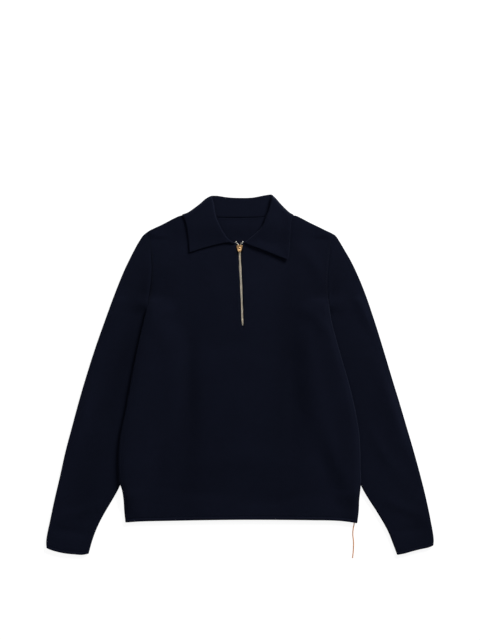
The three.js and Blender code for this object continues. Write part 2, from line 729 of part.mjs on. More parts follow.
function collarWall() {
  const sheets = [];
  const add = (grid, height) =>
    sheets.push(
      slab(
        grid.map((row) =>
          row.map((p) => {
            const { top, bottom } = height(p);
            return { ...p, top, bottom: Math.min(bottom, top - least) };
          }),
        ),
      ),
    );
  const across = rounded(shares(96, 6, true, false));
  const brimFine = rounded(shares(110, 11, false, true));
  const sideFine = rounded(shares(40, 3, true, false));
  const seams = {};
  for (const leaf of Object.values(leaves)) {
    const seam = frontNeckRows
      .filter((row) => Math.sign(row.x) === leaf.side)
      .map((row) => ({ x: row.x - leaf.side * neckGap, y: row.y + neckGap }))
      .sort((a, b) => a.y - b.y);
    const neckPoint = seam.at(-1);
    const fold = leaf.roll.at(-1);
    const side = [fold, neckPoint];
    seams[leaf.side] = { side, brim: leaf.brim };
    const toRoll = (p) => Math.max(distanceTo(leaf.roll, p.x, p.y), edgeSteps[0]);
    const toBrim = (p) => Math.max(distanceTo(leaf.brim, p.x, p.y), edgeSteps[0]);
    const toSide = (p) => Math.max(distanceTo(side, p.x, p.y), edgeSteps[0]);
    const leafPatch = { near: leaf.roll, far: leaf.edge, start: leaf.end, stop: leaf.brim, across, along: brimFine };
    add(patch(leafPatch), (p) => {
      const middle = leafUnder(p.x, p.y) - leafGap / 2;
      const low = toRoll(p) < wall ? middle - joinOverlap : middle + leafGap / 2;
      return {
        top: Math.min(middle + outerHalf(toRoll(p), rollR), brimR + outerHalf(toBrim(p), brimR)),
        bottom: Math.min(low, brimR + innerHalf(toBrim(p), brimR, -joinOverlap)),
      };
    });
    const end = [leaf.roll[0], seam[0]];
    add(patch({ near: leaf.roll, far: seam, start: end, stop: side, across: sideFine, along: brimFine }), (p) => {
      const middle = leafUnder(p.x, p.y) - leafGap / 2;
      const open = lift(p.x, p.y) + foldR;
      const top = toRoll(p) < wall ? middle + joinOverlap : middle - leafGap / 2;
      const low = open + innerHalf(toSide(p), foldR, -joinOverlap);
      return {
        top: Math.min(top, Math.max(open + outerHalf(toSide(p), foldR), low + least)),
        bottom: Math.max(low, middle - outerHalf(toRoll(p), rollR)),
      };
    });
  }
  const right = seams[-1];
  const left = seams[1];
  const backSeam = backNeckRows.map((row) => ({ x: row.x * (1 - neckGap / neckHalf), y: row.y + neckGap }));
  const acrossBack = rounded(shares(128, 12, true, true));
  const standDown = rounded(shares(42, 3, true, false));
  const fallDown = rounded(shares(54, 4, true, false));
  const toFold = (p) => Math.max(distanceTo(backFold, p.x, p.y), edgeSteps[0]);
  const toSides = (p) =>
    Math.max(Math.min(distanceTo(right.side, p.x, p.y), distanceTo(left.side, p.x, p.y)), edgeSteps[0]);
  const toBrims = (p) =>
    Math.max(Math.min(distanceTo(right.brim, p.x, p.y), distanceTo(left.brim, p.x, p.y)), edgeSteps[0]);
  const standPlan = patch({
    near: backFold,
    far: backSeam,
    start: right.side,
    stop: left.side,
    across: standDown,
    along: acrossBack,
  });
  add(standPlan, (p) => {
    const open = collarLift + foldR;
    const foldLow = toFold(p) < wall ? backR - joinOverlap : collarLift;
    return {
      top: Math.min(backR + outerHalf(toFold(p), backR), open - innerHalf(toSides(p), foldR, -joinOverlap)),
      bottom: Math.max(foldLow, Math.min(open - outerHalf(toSides(p), foldR), backR + wall)),
    };
  });
  const fallEdge = [right.brim.at(-1), ...fallRows, left.brim.at(-1)];
  const fallPlan = patch({
    near: backFold,
    far: fallEdge,
    start: right.brim,
    stop: left.brim,
    across: fallDown,
    along: acrossBack,
  });
  add(fallPlan, (p) => {
    const top = toFold(p) < wall ? backR + joinOverlap : wall;
    return {
      top: Math.max(top, brimR - innerHalf(toBrims(p), brimR, -joinOverlap)),
      bottom: Math.max(backR - outerHalf(toFold(p), backR), brimR - outerHalf(toBrims(p), brimR)),
    };
  });
  return joined(sheets);
}

// Zip pieces
const zipX = (y) => along(zipLine, "y", "x", y);

function ribbon(fromY, toY, steps, edges) {
  return slab(
    Array.from({ length: steps + 1 }, (_, k) => {
      const y = mix(fromY, toY, k / steps);
      return edges(y).map((p) => ({ y, ...p }));
    }),
  );
}

function zipTape(side) {
  return ribbon(zipEndY - 7, sliderTopY - 1.6, 12, (y) =>
    [0.3, tapeWidth].map((d) => ({ x: zipX(y) + side * d, top: tapeZ + tapeThick, bottom: tapeZ })),
  );
}

function zipChain() {
  return ribbon(zipEndY + 3.6, sliderTopY - sliderLength / 2, 22, (y) => {
    const half = Math.min(chainHalf, slitHalfAt(y) - 0.4);
    return [-1, 1].map((side) => ({ x: zipX(y) + side * half, top: chainZ + chainThick, bottom: chainZ }));
  });
}

function plate(outline, thick, round) {
  const shape = new THREE.Shape(outline.map((p) => new THREE.Vector2(p.x, p.y)));
  const options = { depth: thick - 2 * round, bevelThickness: round, bevelSize: round, bevelOffset: -round };
  const geometry = new THREE.ExtrudeGeometry(shape, { ...options, bevelSegments: 2, curveSegments: 8 });
  return geometry.translate(0, 0, round);
}

// Half of the chain above the slider, bent aside along an arc
function zipEnd(side) {
  const y0 = sliderTopY + 0.4;
  return slab(
    Array.from({ length: 7 }, (_, k) => {
      const t = k / 6;
      const y = y0 + 6.6 * t;
      const x = zipX(y) + side * (1.9 + 1.4 * t + 3.2 * t * t);
      const bottom = chainZ + 1.2 * t;
      return [-1.15, 1.15].map((d) => ({ x: x + d, y: y + side * d * 0.25, top: bottom + chainThick, bottom }));
    }),
  );
}

const sliderX = zipX(sliderTopY - sliderLength / 2);
const plateTop = chainZ + chainThick + seamGap + plateThick;

function sliderBody() {
  const half = sliderLength / 2;
  const crown = sliderHalf;
  const outline = [
    { x: -sliderNeckHalf, y: -half },
    { x: sliderNeckHalf, y: -half },
    { x: sliderNeckHalf + 0.3, y: -half + 2.5 },
    { x: crown, y: half * 0.25 },
    { x: crown, y: half * 0.7 },
    { x: crown - 1.1, y: half - 0.2 },
    { x: 1.2, y: half },
    { x: -1.2, y: half },
    { x: -crown + 1.1, y: half - 0.2 },
    { x: -crown, y: half * 0.7 },
    { x: -crown, y: half * 0.25 },
    { x: -sliderNeckHalf - 0.3, y: -half + 2.5 },
  ];
  const body = plate(outline, plateTop - chainZ, 0.4).translate(0, 0, chainZ);
  const channel = new THREE.BoxGeometry(2 * chainHalf + 0.7, sliderLength / 2 + 1, chainThick + seamGap + 1);
  channel.translate(0, -sliderLength / 4 - 0.4, chainZ + (chainThick + seamGap - 1) / 2);
  const arch = new THREE.Shape();
  arch.absarc(0, 0, bridgeR + bridgeBar / 2, 0, Math.PI, false);
  arch.absarc(0, 0, bridgeR - bridgeBar / 2, Math.PI, 0, true);
  const bridge = new THREE.ExtrudeGeometry(arch, { depth: bridgeWidth, bevelEnabled: false, curveSegments: 14 });
  bridge.translate(0, 0, -bridgeWidth / 2).rotateY(Math.PI / 2).rotateX(Math.PI / 2);
  bridge.translate(0, 0, plateTop - joinOverlap);
  return solid(body).subtract(solid(channel)).add(solid(bridge));
}

function pullTab() {
  const outline = [
    { x: -pullHalf, y: 0.55 },
    { x: -pullHalf, y: -pullLength + 2.4 },
    { x: -pullHalf + 0.9, y: -pullLength + 0.6 },
    { x: -pullHalf + 2.2, y: -pullLength },
    { x: pullHalf - 2.2, y: -pullLength },
    { x: pullHalf - 0.9, y: -pullLength + 0.6 },
    { x: pullHalf, y: -pullLength + 2.4 },
    { x: pullHalf, y: 0.55 },
  ];
  const tab = plate(outline, pullThick, 0.2).translate(0, 0, -pullThick / 2);
  const window = new THREE.BoxGeometry(2.6, windowLength, 4);
  window.translate(0, -pullThick / 2 - windowLength / 2, 0);
  return solid(tab).subtract(solid(window));
}

function threadTube() {
  const path = new THREE.CatmullRomCurve3(threadRoute.map((p) => new THREE.Vector3(p.x, p.y, p.z)));
  const section = new THREE.Shape();
  const sides = 8;
  for (let k = 0; k < sides; k++) {
    const angle = (2 * Math.PI * k) / sides;
    const place = [(threadDiameter / 2) * Math.cos(angle), (threadDiameter / 2) * Math.sin(angle)];
    if (k) section.lineTo(...place);
    else section.moveTo(...place);
  }
  return new THREE.ExtrudeGeometry(section, { steps: 24, bevelEnabled: false, extrudePath: path });
}

const sweater = new THREE.Group();

function addPiece(name, piece, material, place = [0, 0, 0]) {
  const mesh = new THREE.Mesh(piece.isBufferGeometry ? piece : geometryOf(piece), material);
  mesh.name = name;
  mesh.position.set(...place);
  sweater.add(mesh);
}

addPiece("front", frontWall(), navyKnit);
addPiece("back", backWall(), navyKnit);
for (const [name, table] of Object.entries(sleeves)) addPiece(name, sleeveWall(table), navyKnit);
addPiece("collar", collarWall(), navyKnit);
for (const [name, side] of Object.entries({ right: -1, left: 1 })) {
  addPiece("zip_tape_" + name, solid(zipTape(side)), navyTape);
  addPiece("zip_end_" + name, solid(zipEnd(side)), paleMetal);
}
addPiece("zip_chain", solid(zipChain()), paleMetal);
const stop = plate(
  [
    { x: -0.9, y: -1.1 },
    { x: 0.9, y: -1.1 },
    { x: 0.9, y: 1.1 },
    { x: -0.9, y: 1.1 },
  ],
  chainThick,
  0.3,
);
addPiece("zip_stop", stop, paleMetal, [zipX(zipEndY), zipEndY + 1.9, chainZ]);
const sliderY = sliderTopY - sliderLength / 2;
addPiece("zip_slider", sliderBody(), bronze, [sliderX, sliderY, 0]);
addPiece("zip_pull", pullTab(), bronze, [sliderX, sliderY, plateTop + pinRise]);
addPiece("thread", threadTube(), peachThread);

export default sweater;
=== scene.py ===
import math

import bmesh
import bpy
import numpy as np
from mathutils import Matrix, Vector
from mathutils.bvhtree import BVHTree


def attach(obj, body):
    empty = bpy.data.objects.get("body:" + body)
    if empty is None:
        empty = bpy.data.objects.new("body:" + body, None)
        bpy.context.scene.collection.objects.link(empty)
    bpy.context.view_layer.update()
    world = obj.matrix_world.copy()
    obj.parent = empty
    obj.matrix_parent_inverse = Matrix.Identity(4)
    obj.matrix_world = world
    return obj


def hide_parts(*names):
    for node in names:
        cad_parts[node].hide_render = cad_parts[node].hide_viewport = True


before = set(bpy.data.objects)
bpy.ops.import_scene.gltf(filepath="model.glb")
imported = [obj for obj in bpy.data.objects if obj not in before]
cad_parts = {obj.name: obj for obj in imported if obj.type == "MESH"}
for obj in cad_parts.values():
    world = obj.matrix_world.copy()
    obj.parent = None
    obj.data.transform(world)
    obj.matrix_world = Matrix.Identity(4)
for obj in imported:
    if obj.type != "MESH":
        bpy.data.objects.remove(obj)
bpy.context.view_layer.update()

# Quarter zip sweater, laid flat on its back. Tables are in millimetres, as in the CAD source, and objects
# in metres. Right and left are the wearer's.
mm = 0.001
scene = bpy.context.scene
scene.view_settings.view_transform = "Standard"
scene.view_settings.look = "None"

# camera
cameraLook = {"height": 3.0, "frameHeight": 1.344, "centre": (0.0, 0.115), "planeZ": 0.007, "sensor": 36.0}
print("camera")
cameraData = bpy.data.cameras.new("camera")
cameraData.sensor_width = cameraLook["sensor"]
cameraReach = cameraLook["height"] - cameraLook["planeZ"]
cameraData.lens = cameraLook["sensor"] * cameraReach / cameraLook["frameHeight"]
camera = bpy.data.objects.new("camera", cameraData)
camera.location = (*cameraLook["centre"], cameraLook["height"])
scene.collection.objects.link(camera)
scene.camera = camera

# the loose thread
threadLook = {"diameter": 2.2, "length": 0.0750, "twist": 0.0022,
              # the lighter colour is laid on the twist's ridges, a painted highlight, and on random fibres
              "colour": (0.76, 0.20, 0.03), "fibreAndHighlight": (0.70, 0.36, 0.14)}
threadRoute = [
    (240.2, -311.55, 1.4), (239.7, -316.5, 1.25), (238.9, -320.5, 1.2), (238.1, -325.0, 1.2),
    (237.6, -330.0, 1.2), (237.4, -335.0, 1.2), (237.7, -340.5, 1.2), (238.4, -346.0, 1.2),
    (239.0, -351.5, 1.2), (239.1, -357.0, 1.2), (238.9, -362.5, 1.2), (238.6, -368.0, 1.2),
    (238.1, -374.0, 1.2), (237.5, -380.0, 1.2), (237.0, -385.8, 1.2),
]
print("thread")
threadData = bpy.data.curves.new("thread_cord", "CURVE")
threadData.dimensions = "3D"
threadData.bevel_depth = threadLook["diameter"] * mm / 2
threadData.bevel_resolution = 2
threadData.resolution_u = 8
threadData.use_fill_caps = True
spline = threadData.splines.new("BEZIER")
spline.bezier_points.add(len(threadRoute) - 1)
for point, place in zip(spline.bezier_points, threadRoute):
    point.co = Vector(place) * mm
    point.handle_left_type = point.handle_right_type = "AUTO"
thread = bpy.data.objects.new("thread_cord", threadData)
scene.collection.objects.link(thread)


# shader maths
class Wire:
    # One shader socket, or a plain number, that adds its Math nodes as it is used
    def __init__(self, tree, socket):
        self.tree = tree
        self.socket = socket

    def node(self, kind, settings=None, inputs=None, output=0):
        made = self.tree.nodes.new(kind)
        for name, value in (settings or {}).items():
            if name == "stops":
                ramp = made.color_ramp
                while len(ramp.elements) > len(value):
                    ramp.elements.remove(ramp.elements[-1])
                while len(ramp.elements) < len(value):
                    ramp.elements.new(1.0)
                for element, (position, colour) in zip(ramp.elements, value):
                    element.position = position
                    element.color = (*colour, 1.0) if len(colour) == 3 else colour
            else:
                setattr(made, name, value)
        for name, value in (inputs or {}).items():
            if isinstance(value, Wire):
                self.tree.links.new(value.socket, made.inputs[name])
            else:
                made.inputs[name].default_value = value
        return Wire(self.tree, made.outputs[output])

    def math(self, operation, *values, clamp=False):
        inputs = {k: v for k, v in enumerate(values)}
        return self.node("ShaderNodeMath", {"operation": operation, "use_clamp": clamp}, inputs)

    def __add__(self, other): return self.math("ADD", self, other)
    def __radd__(self, other): return self.math("ADD", other, self)
    def __sub__(self, other): return self.math("SUBTRACT", self, other)
    def __rsub__(self, other): return self.math("SUBTRACT", other, self)
    def __mul__(self, other): return self.math("MULTIPLY", self, other)
    def __rmul__(self, other): return self.math("MULTIPLY", other, self)
    def __truediv__(self, other): return self.math("DIVIDE", self, other)
    def __rtruediv__(self, other): return self.math("DIVIDE", other, self)
    def __pow__(self, other): return self.math("POWER", self, other)
    def __abs__(self): return self.math("ABSOLUTE", self)

    def sine(self): return self.math("SINE", self)
    def fraction(self): return self.math("FRACT", self)
    def clamped(self): return self.math("MULTIPLY", self, 1.0, clamp=True)

    def axes(self):  # the first two parts of a place
        parts = self.node("ShaderNodeSeparateXYZ", None, {"Vector": self})
        return parts, Wire(self.tree, parts.socket.node.outputs["Y"])

    def blend(self, first, second):  # self is the share of the second colour
        return self.node("ShaderNodeMix", {"data_type": "RGBA"}, {0: self, 6: first, 7: second}, output=2)

    def noise(self, place, scale, detail=2.0, roughness=0.5):
        return self.node("ShaderNodeTexNoise", {"noise_dimensions": "3D"},
                         {"Vector": place, "Scale": scale, "Detail": detail, "Roughness": roughness})


def newMaterial(name):
    material = bpy.data.materials.new(name)
    material.use_nodes = True
    tree = material.node_tree
    tree.nodes.clear()
    return material, Wire(tree, None)


def finishMaterial(start, sockets, constants):
    surface = start.node("ShaderNodeBsdfPrincipled", None, {**constants, **sockets})
    out = start.tree.nodes.new("ShaderNodeOutputMaterial")
    start.tree.links.new(surface.socket, out.inputs["Surface"])


def rgb(colour):
    return (*colour, 1.0)


# knitted cloth
knitLook = {
    "wale": 0.0026, "course": 0.0019,  # stitch width and height in metres
    # the grooves are darker than the ridges: painted shade in the hollows between stitches
    "ridge": (0.0046, 0.0062, 0.0152), "groove": (0.0015, 0.0021, 0.0055),
    "dark": (0.50, 0.50, 0.53), "light": (1.62, 1.55, 1.45),  # shares for the painted shade and painted light patches; the lit share is also greyer, a painted sheen
    "fuzz": 0.05, "depth": 0.00042,
}


def knitMaterial(name):
    material, start = newMaterial(name)
    place = start.node("ShaderNodeUVMap", {"uv_map": "flat"})
    across, up = place.axes()
    across, up = across / knitLook["wale"], up / knitLook["course"]
    spread = start.noise(place, 90.0)
    across = across + (spread - 0.5) * 0.25
    side = abs(across.fraction() - 0.5) * 2.0  # 0 in the middle of a wale, 1 at its edge
    arms = abs((across * math.pi * 2.0).sine()) ** 0.6
    slant = ((up + side * 0.55) * math.pi * 2.0).sine() * 0.5 + 0.5
    stitch = arms * (0.45 + slant * 0.55)
    tone = start.noise(place, 14.0, 3.0)
    fibre = start.noise(place, 1900.0, 3.0, 0.7)
    # mask: painted shade in the stitches' hollows and the lighter ridge colour on their raised parts,
    # following the stitch height, mixed with random tone and fibre variation
    mask = (stitch * 0.75 + tone * 0.35 + fibre * 0.35 - 0.2).clamped()
    # the tone attribute carries painted light and painted shade: it moves both colours between their shaded
    # and lit shares
    patch = start.node("ShaderNodeAttribute", {"attribute_name": "tone"}, None, output=2)
    groove, ridge = ([rgb([c * share for c, share in zip(knitLook[part], knitLook[end])])
                      for end in ("dark", "light")] for part in ("groove", "ridge"))
    colour = mask.blend(patch.blend(*groove), patch.blend(*ridge))
    height = stitch + fibre * 0.35
    normal = start.node("ShaderNodeBump", None,
                        {"Strength": 0.75, "Distance": knitLook["depth"], "Height": height})
    rough = 0.98 - fibre * 0.12
    finishMaterial(start, {"Base Color": colour, "Roughness": rough, "Normal": normal},
                   {"Specular IOR Level": 0.03, "Sheen Weight": knitLook["fuzz"], "Sheen Roughness": 0.6,
                    "Sheen Tint": (0.42, 0.48, 0.75, 1.0)})
    return material


knit = knitMaterial("navy_knit")

# sizes that every cloth piece follows
cloth = {
    "wall": 2.6, "layGap": 1.7, "sleeveGap": 1.2, "leafGap": 0.6, "seamGap": 0.3,
    "tuckTop": 116.0, "tuckEnd": -240.0, "tuckLift": 6.8, "tuckMargin": 11.0, "tuckRamp": (62.0, 46.0),
    "tuckLevel": (14.0, 6.0),  # the body stays raised this far past the tucked stretch's top and lower end
    "collarLift": 2.9, "collarRamp": 44.0, "collarLevel": 3.0, "collarHalf": 124.0, "fallEdge": 320.0,
    "neckHalf": 88.0, "sewnFrom": 126.0, "sewnRamp": 30.0,  # the sleeve is sewn to the body above here
    "armhole": (150.0, 285.0), "sleeveTop": 296.5, "slitLow": 101.5, "zipStitchTop": 264.0,
}
wall = cloth["wall"]
stack = 2 * wall + cloth["layGap"]
foldRadius = stack / 2
sleeveStack = 2 * wall + cloth["sleeveGap"]
sides = {
    "right": [(-316, -240.4), (-284, -243.6), (-263, -244.6), (-242, -247.6), (-226, -252.6), (-200, -254.5),
              (-158, -254.2), (-122, -250.1), (-78, -240.4), (-21, -230.2), (42, -218.0), (77, -210.4),
              (115, -201.6), (144, -195.0), (188, -188.6), (220, -186.0), (260, -188.4), (294, -195.4)],
    "left": [(-316, 246.2), (-284, 249.9), (-263, 250.4), (-242, 252.4), (-226, 253.9), (-200, 253.0),
             (-158, 252.0), (-122, 249.8), (-78, 242.6), (-21, 229.2), (42, 211.0), (77, 201.0),
             (115, 191.6), (144, 187.4), (188, 184.6), (220, 185.4), (260, 189.4), (294, 196.2)],
}
hemLine = [(-260, -311.2), (-240, -310.4), (-213, -308.6), (-150, -307.1), (-75, -305.7), (0, -304.9),
           (75, -305.0), (152, -305.8), (202, -306.8), (228, -309.2), (247, -312.2), (260, -313.4)]
shoulderLine = [(-200, 295.6), (-190.1, 302.7), (-163.4, 315.8), (-136.3, 329.8), (-124, 334.8),
                (-110, 334.8), (-90, 336), (0, 336), (90, 336), (106, 334.6), (117, 334.4), (126, 330.4),
                (141, 322.6), (168.4, 309.2), (193.4, 296.6), (200, 292.8)]
frontNeck = [(-88, 336), (-84, 325.0), (-71.6, 305.0), (-54.8, 291.5), (-33.8, 282.0), (-21.2, 277.7),
             (-9.7, 273.8), (9.7, 274.8), (20.8, 279.4), (46, 288.6), (67, 301.9), (83, 322.9), (88, 336)]
backNeck = [(-88, 336), (-76, 333.4), (-52, 330.4), (40, 330.4), (76, 333.4), (88, 336)]
sleeveLines = {
    "right": {
        "outer": [(-372, -405.6), (-358, -407.5), (-348, -407.4), (-306, -399.2), (-264, -390.4),
                  (-222, -380.5), (-159, -366.4), (-117, -355.2), (-54, -338.2), (-12, -325.9), (51, -306.0),
                  (114, -283.9), (177, -260.6), (219, -243.4), (240, -233.4), (259, -223.8), (278, -213.4),
                  (290, -205.4), (299, -198.0)],
        "inner": [(-382, -319.8), (-348, -310.4), (-327, -302.8), (-306, -293.2), (-285, -281.6),
                  (-264, -269.1), (-241, -256.2), (-190, -233.3), (-137, -210.2), (-74, -189.2),
                  (-11, -174.4), (52, -172.0), (84, -180.0), (112, -196.0), (122, -201.0)],
        "cuff": [(-410, -361.0), (-404, -365.4), (-381, -373.0), (-365, -376.0), (-348, -377.6),
                 (-331, -378.5), (-314, -375.0)],
    },
    "left": {
        "outer": [(-372, 404.8), (-356, 407.0), (-348, 407.5), (-306, 400.9), (-264, 392.2), (-222, 382.0),
                  (-159, 364.9), (-117, 352.6), (-54, 334.0), (-12, 321.1), (51, 302.2), (114, 282.6),
                  (177, 260.8), (219, 243.0), (240, 232.6), (259, 221.6), (278, 210.4), (290, 202.4),
                  (299, 196.6)],
        "inner": [(-382, 331.6), (-351, 320.0), (-330, 311.6), (-314, 303.2), (-286, 286.4), (-260, 269.6),
                  (-241, 258.4), (-190, 235.8), (-137, 212.7), (-74, 191.7), (-11, 176.9), (52, 172.5),
                  (84, 176.0), (112, 187.0), (122, 191.0)],
        "cuff": [(314, -380.0), (331, -378.5), (345, -376.0), (362, -371.2), (379, -366.8), (395, -363.4),
                 (404, -359.8), (410, -355.6)],
    },
}
leaves = {
    "right": {
        "roll": [(-9.4, 275.0), (-23.9, 284.2), (-36.0, 301.0), (-50.6, 332.3), (-56.5, 364.0),
                 (-60.0, 375.6)],
        "edge": [(-106.3, 256.4), (-107.4, 276.0), (-110.2, 301.9), (-115.4, 325.0), (-120.4, 333.4),
                 (-122.5, 336.8)],
        "brim": [(-60.0, 375.6), (-70.8, 371.2), (-84.0, 359.6), (-101.2, 347.0), (-109.2, 341.4),
                 (-122.5, 336.8)],
        "end": [(-9.4, 275.0), (-26.2, 277.6), (-69.5, 267.8), (-106.3, 256.4)],
    },
    "left": {
        "roll": [(9.4, 276.6), (21.0, 287.2), (43.3, 307.0), (54.0, 330.0), (63.4, 356.0), (67.0, 377.0)],
        "edge": [(100.6, 240.8), (103.6, 262.0), (105.4, 300.0), (107.4, 325.0), (111.2, 333.0),
                 (113.5, 336.2)],
        "brim": [(67.0, 377.0), (76.4, 369.0), (84.4, 359.8), (97.4, 347.2), (104.2, 341.2),
                 (113.5, 336.2)],
        "end": [(9.4, 276.6), (52.3, 260.2), (92.2, 244.0), (100.6, 240.8)],
    },
}
backFold = [(-60.0, 375.6), (-49.6, 376.0), (-24.4, 372.6), (0, 371.6), (26.0, 372.4), (51.2, 377.0),
            (64.9, 378.9), (67.0, 377.0)]
fallLine = [(-122.5, 336.8), (-108, 322), (-70, 320), (0, 320), (70, 320), (104, 322), (113.5, 336.2)]
zipLine = [(96, 5.9), (136, 4.4), (178, 2.9), (220, 0.9), (258, -0.7), (282, -1.2)]


def curve(rows, at):  # smooth line through a table, at one place or at an array of them
    keys, values = np.array(rows, float).T
    at = np.clip(np.asarray(at, float), keys[0], keys[-1])
    step = np.diff(keys)
    slope = np.diff(values) / step
    tilt = np.concatenate(([slope[0]], (slope[:-1] + slope[1:]) / 2, [slope[-1]]))
    i = np.clip(np.searchsorted(keys, at, "right") - 1, 0, len(keys) - 2)
    t = (at - keys[i]) / step[i]
    rise = values[i + 1] - values[i]
    bend = (1 - t) * tilt[i] * step[i] - t * tilt[i + 1] * step[i] - (1 - 2 * t) * rise
    return values[i] + rise * t + t * (1 - t) * bend


def mix(a, b, t):
    return a + (b - a) * t


def smooth(t):
    t = np.clip(t, 0.0, 1.0)
    return t * t * (3 - 2 * t)


def lift(x, y):  # how far the body is raised by the tucked sleeves and the collar's fall
    share = np.zeros(np.shape(x))
    (rampX, rampY), (above, below) = cloth["tuckRamp"], cloth["tuckLevel"]
    for side, lines in zip((-1, 1), (sleeveLines["right"], sleeveLines["left"])):
        inner = curve(lines["inner"], np.clip(y, cloth["tuckEnd"], cloth["tuckTop"]))
        across = np.maximum(0, side * (inner - x) - cloth["tuckMargin"]) / rampX
        down = np.maximum(0, np.maximum(y - cloth["tuckTop"] - above, cloth["tuckEnd"] - below - y)) / rampY
        share = np.maximum(share, 1 - smooth(np.hypot(across, down)))
    fall = 1 - smooth((cloth["fallEdge"] - cloth["collarLevel"] - y) / cloth["collarRamp"])
    nearNeck = 1 - smooth((np.abs(x) - cloth["collarHalf"]) / cloth["collarRamp"])
    return np.maximum(cloth["tuckLift"] * share, cloth["collarLift"] * fall * nearNeck)


def foldHeight(d, radius):  # height of the cloth's middle over a fold's axis, at a distance from its edge
    d = np.clip(d - wall / 2, 0, radius)
    return np.sqrt(np.maximum(0, radius**2 - (radius - d) ** 2))


def foldSteps(radius, more):  # distances from a fold's edge, fine round the fold and wider after it
    around = [wall / 2 + radius * (1 - math.cos(math.radians(a))) for a in (0, 22.5, 45, 67.5, 90)]
    return around + [around[-1] + m for m in more]


def soft(rows, x, y):  # soft ridges or patches: place, direction, length, width and height of each
    total = np.zeros(np.shape(x))
    for cx, cy, angle, length, width, height in rows:
        a = math.radians(angle)
        u = (x - cx) * math.cos(a) + (y - cy) * math.sin(a)
        v = -(x - cx) * math.sin(a) + (y - cy) * math.cos(a)
        bow = v + 0.12 * width * np.sin(u / length * 2.2 + cx)
        total += height * np.exp(-((u / length) ** 2) * 1.2 - (bow / width) ** 2)
    return total


creaseGain = 2.0
creases = {
    "front": [  # x, y, direction, half length, half width, height
        (-104, -60, 91, 150, 15, -1.1), (-138, -40, 88, 170, 20, 1.3), (112, -80, 89, 150, 16, -1.1),
        (146, -30, 93, 160, 20, 1.1), (44, 180, 80, 62, 26, 1.6), (-60, 190, 98, 70, 24, 0.8),
        (-150, 235, 52, 60, 15, 0.9), (158, 228, 128, 60, 15, 0.9), (-165, 120, 35, 50, 14, 1.0),
        (164, 112, 145, 52, 14, 1.0), (0, -180, 4, 130, 26, 0.7), (-60, -250, -6, 90, 16, -0.6),
        (90, -262, 8, 90, 15, -0.6), (20, 20, 85, 160, 40, 0.8), (-190, -190, 70, 60, 14, 0.8),
        (200, -180, 112, 66, 14, 0.8), (-40, 60, 12, 90, 20, -0.5), (70, 40, -14, 80, 20, -0.4),
    ],
    "back": [
        (-70, 40, 84, 150, 22, -0.7), (84, -40, 96, 160, 22, -0.7), (0, -150, 3, 140, 24, 0.6),
        (-120, 200, 48, 70, 18, 0.7), (126, 196, 130, 70, 18, 0.7), (0, 180, 90, 120, 30, 0.6),
    ],
    "sleeve_right": [
        (-322, -60, 75, 190, 26, 1.3),
        (-262, 130, 62, 60, 12, 1.1), (-300, 20, 66, 80, 14, -0.7), (-330, -80, 74, 90, 16, 1.0),
        (-352, -190, 71, 70, 13, -0.7), (-306, -150, 60, 60, 12, 0.9), (-340, -290, 20, 50, 11, 0.8),
        (-360, -330, -8, 44, 9, -0.6), (-240, 190, 118, 40, 11, -0.6),
    ],
    "sleeve_left": [
        (318, -60, 105, 190, 26, 1.3),
        (258, 136, 118, 60, 12, 1.1), (296, 30, 113, 82, 14, -0.7), (322, -70, 106, 90, 16, 1.0),
        (350, -180, 108, 70, 13, -0.7), (300, -160, 121, 60, 12, 0.9), (345, -280, 160, 50, 11, 0.8),
        (358, -326, 10, 44, 9, -0.6), (236, 196, 60, 40, 11, -0.6),
    ],
}


rimLook = {"reach": 1.3, "edge": 0.3}  # the cloth is rounded over this distance from an open edge, in mm


def rimDistance(x, y, z, sides):  # distance along a grid from the nearest of its open sides, in mm
    found = np.full(x.shape, 99.0)
    for axis, first, last in ((0, "first", "last"), (1, "left", "right")):
        step = np.sqrt(sum(np.diff(p, axis=axis) ** 2 for p in (x, y, z)))
        run = np.cumsum(np.concatenate([np.zeros_like(x.take([0], axis)), step], axis), axis)
        if first in sides:
            found = np.minimum(found, run)
        if last in sides:
            found = np.minimum(found, run.take([-1], axis) - run)
    return found


paintedLightAndShade = {  # painted light and painted shade on the cloth: darker patches where shade falls, such as fold troughs and beside the body's edges, and lighter ones where light falls, in the same order as the creases
    "front": [
        (-106, -95, 91, 210, 24, -0.25), (100, 0, 89, 250, 24, -0.24), (29, 170, 86, 76, 22, 0.20),
        (-186, 180, 85, 38, 10, -0.22), (184, 180, 95, 38, 10, -0.22), (216, -270, 90, 60, 22, 0.22),
        (178, -200, 95, 130, 34, 0.13), (-196, -150, 84, 150, 22, 0.08), (0, -292, 0, 280, 44, 0.10),
        (128, 160, 70, 50, 26, -0.06), (150, 285, 155, 60, 30, 0.10), (-10, -60, 90, 230, 40, 0.05),
        (-165, 150, 75, 56, 18, -0.14), (166, 165, 105, 56, 18, -0.14), (-150, 285, 25, 60, 30, 0.08),
    ],
    "back": [(0, 330, 0, 90, 40, 0.08), (-110, -60, 88, 180, 40, -0.06), (120, 20, 94, 180, 40, -0.06)],
    "sleeve_right": [
        (-234, 30, 74, 130, 26, -0.28), (-202, 178, 88, 42, 12, -0.24), (-352, -140, 75, 210, 34, 0.22),
        (-356, -330, -20, 80, 70, 0.18), (-262, 170, 64, 90, 16, 0.12), (-290, -60, 74, 160, 20, -0.07),
        (-318, -230, 74, 90, 22, -0.10),
    ],
    "sleeve_left": [
        (232, 20, 106, 130, 24, -0.13), (200, 178, 92, 42, 12, -0.24), (386, -320, 100, 50, 22, -0.10),
        (334, -60, 105, 190, 20, 0.13), (330, -280, 105, 60, 30, 0.08), (262, 170, 116, 90, 16, 0.12),
        (376, -270, 105, 80, 18, -0.06), (380, -350, 0, 60, 26, 0.03),
    ],
    "collar": [(0, 352, 0, 70, 34, 0.10), (-100, 300, 80, 60, 16, 0.05), (96, 300, 100, 60, 16, 0.05),
               (74, 345, 110, 44, 20, 0.12)],
}


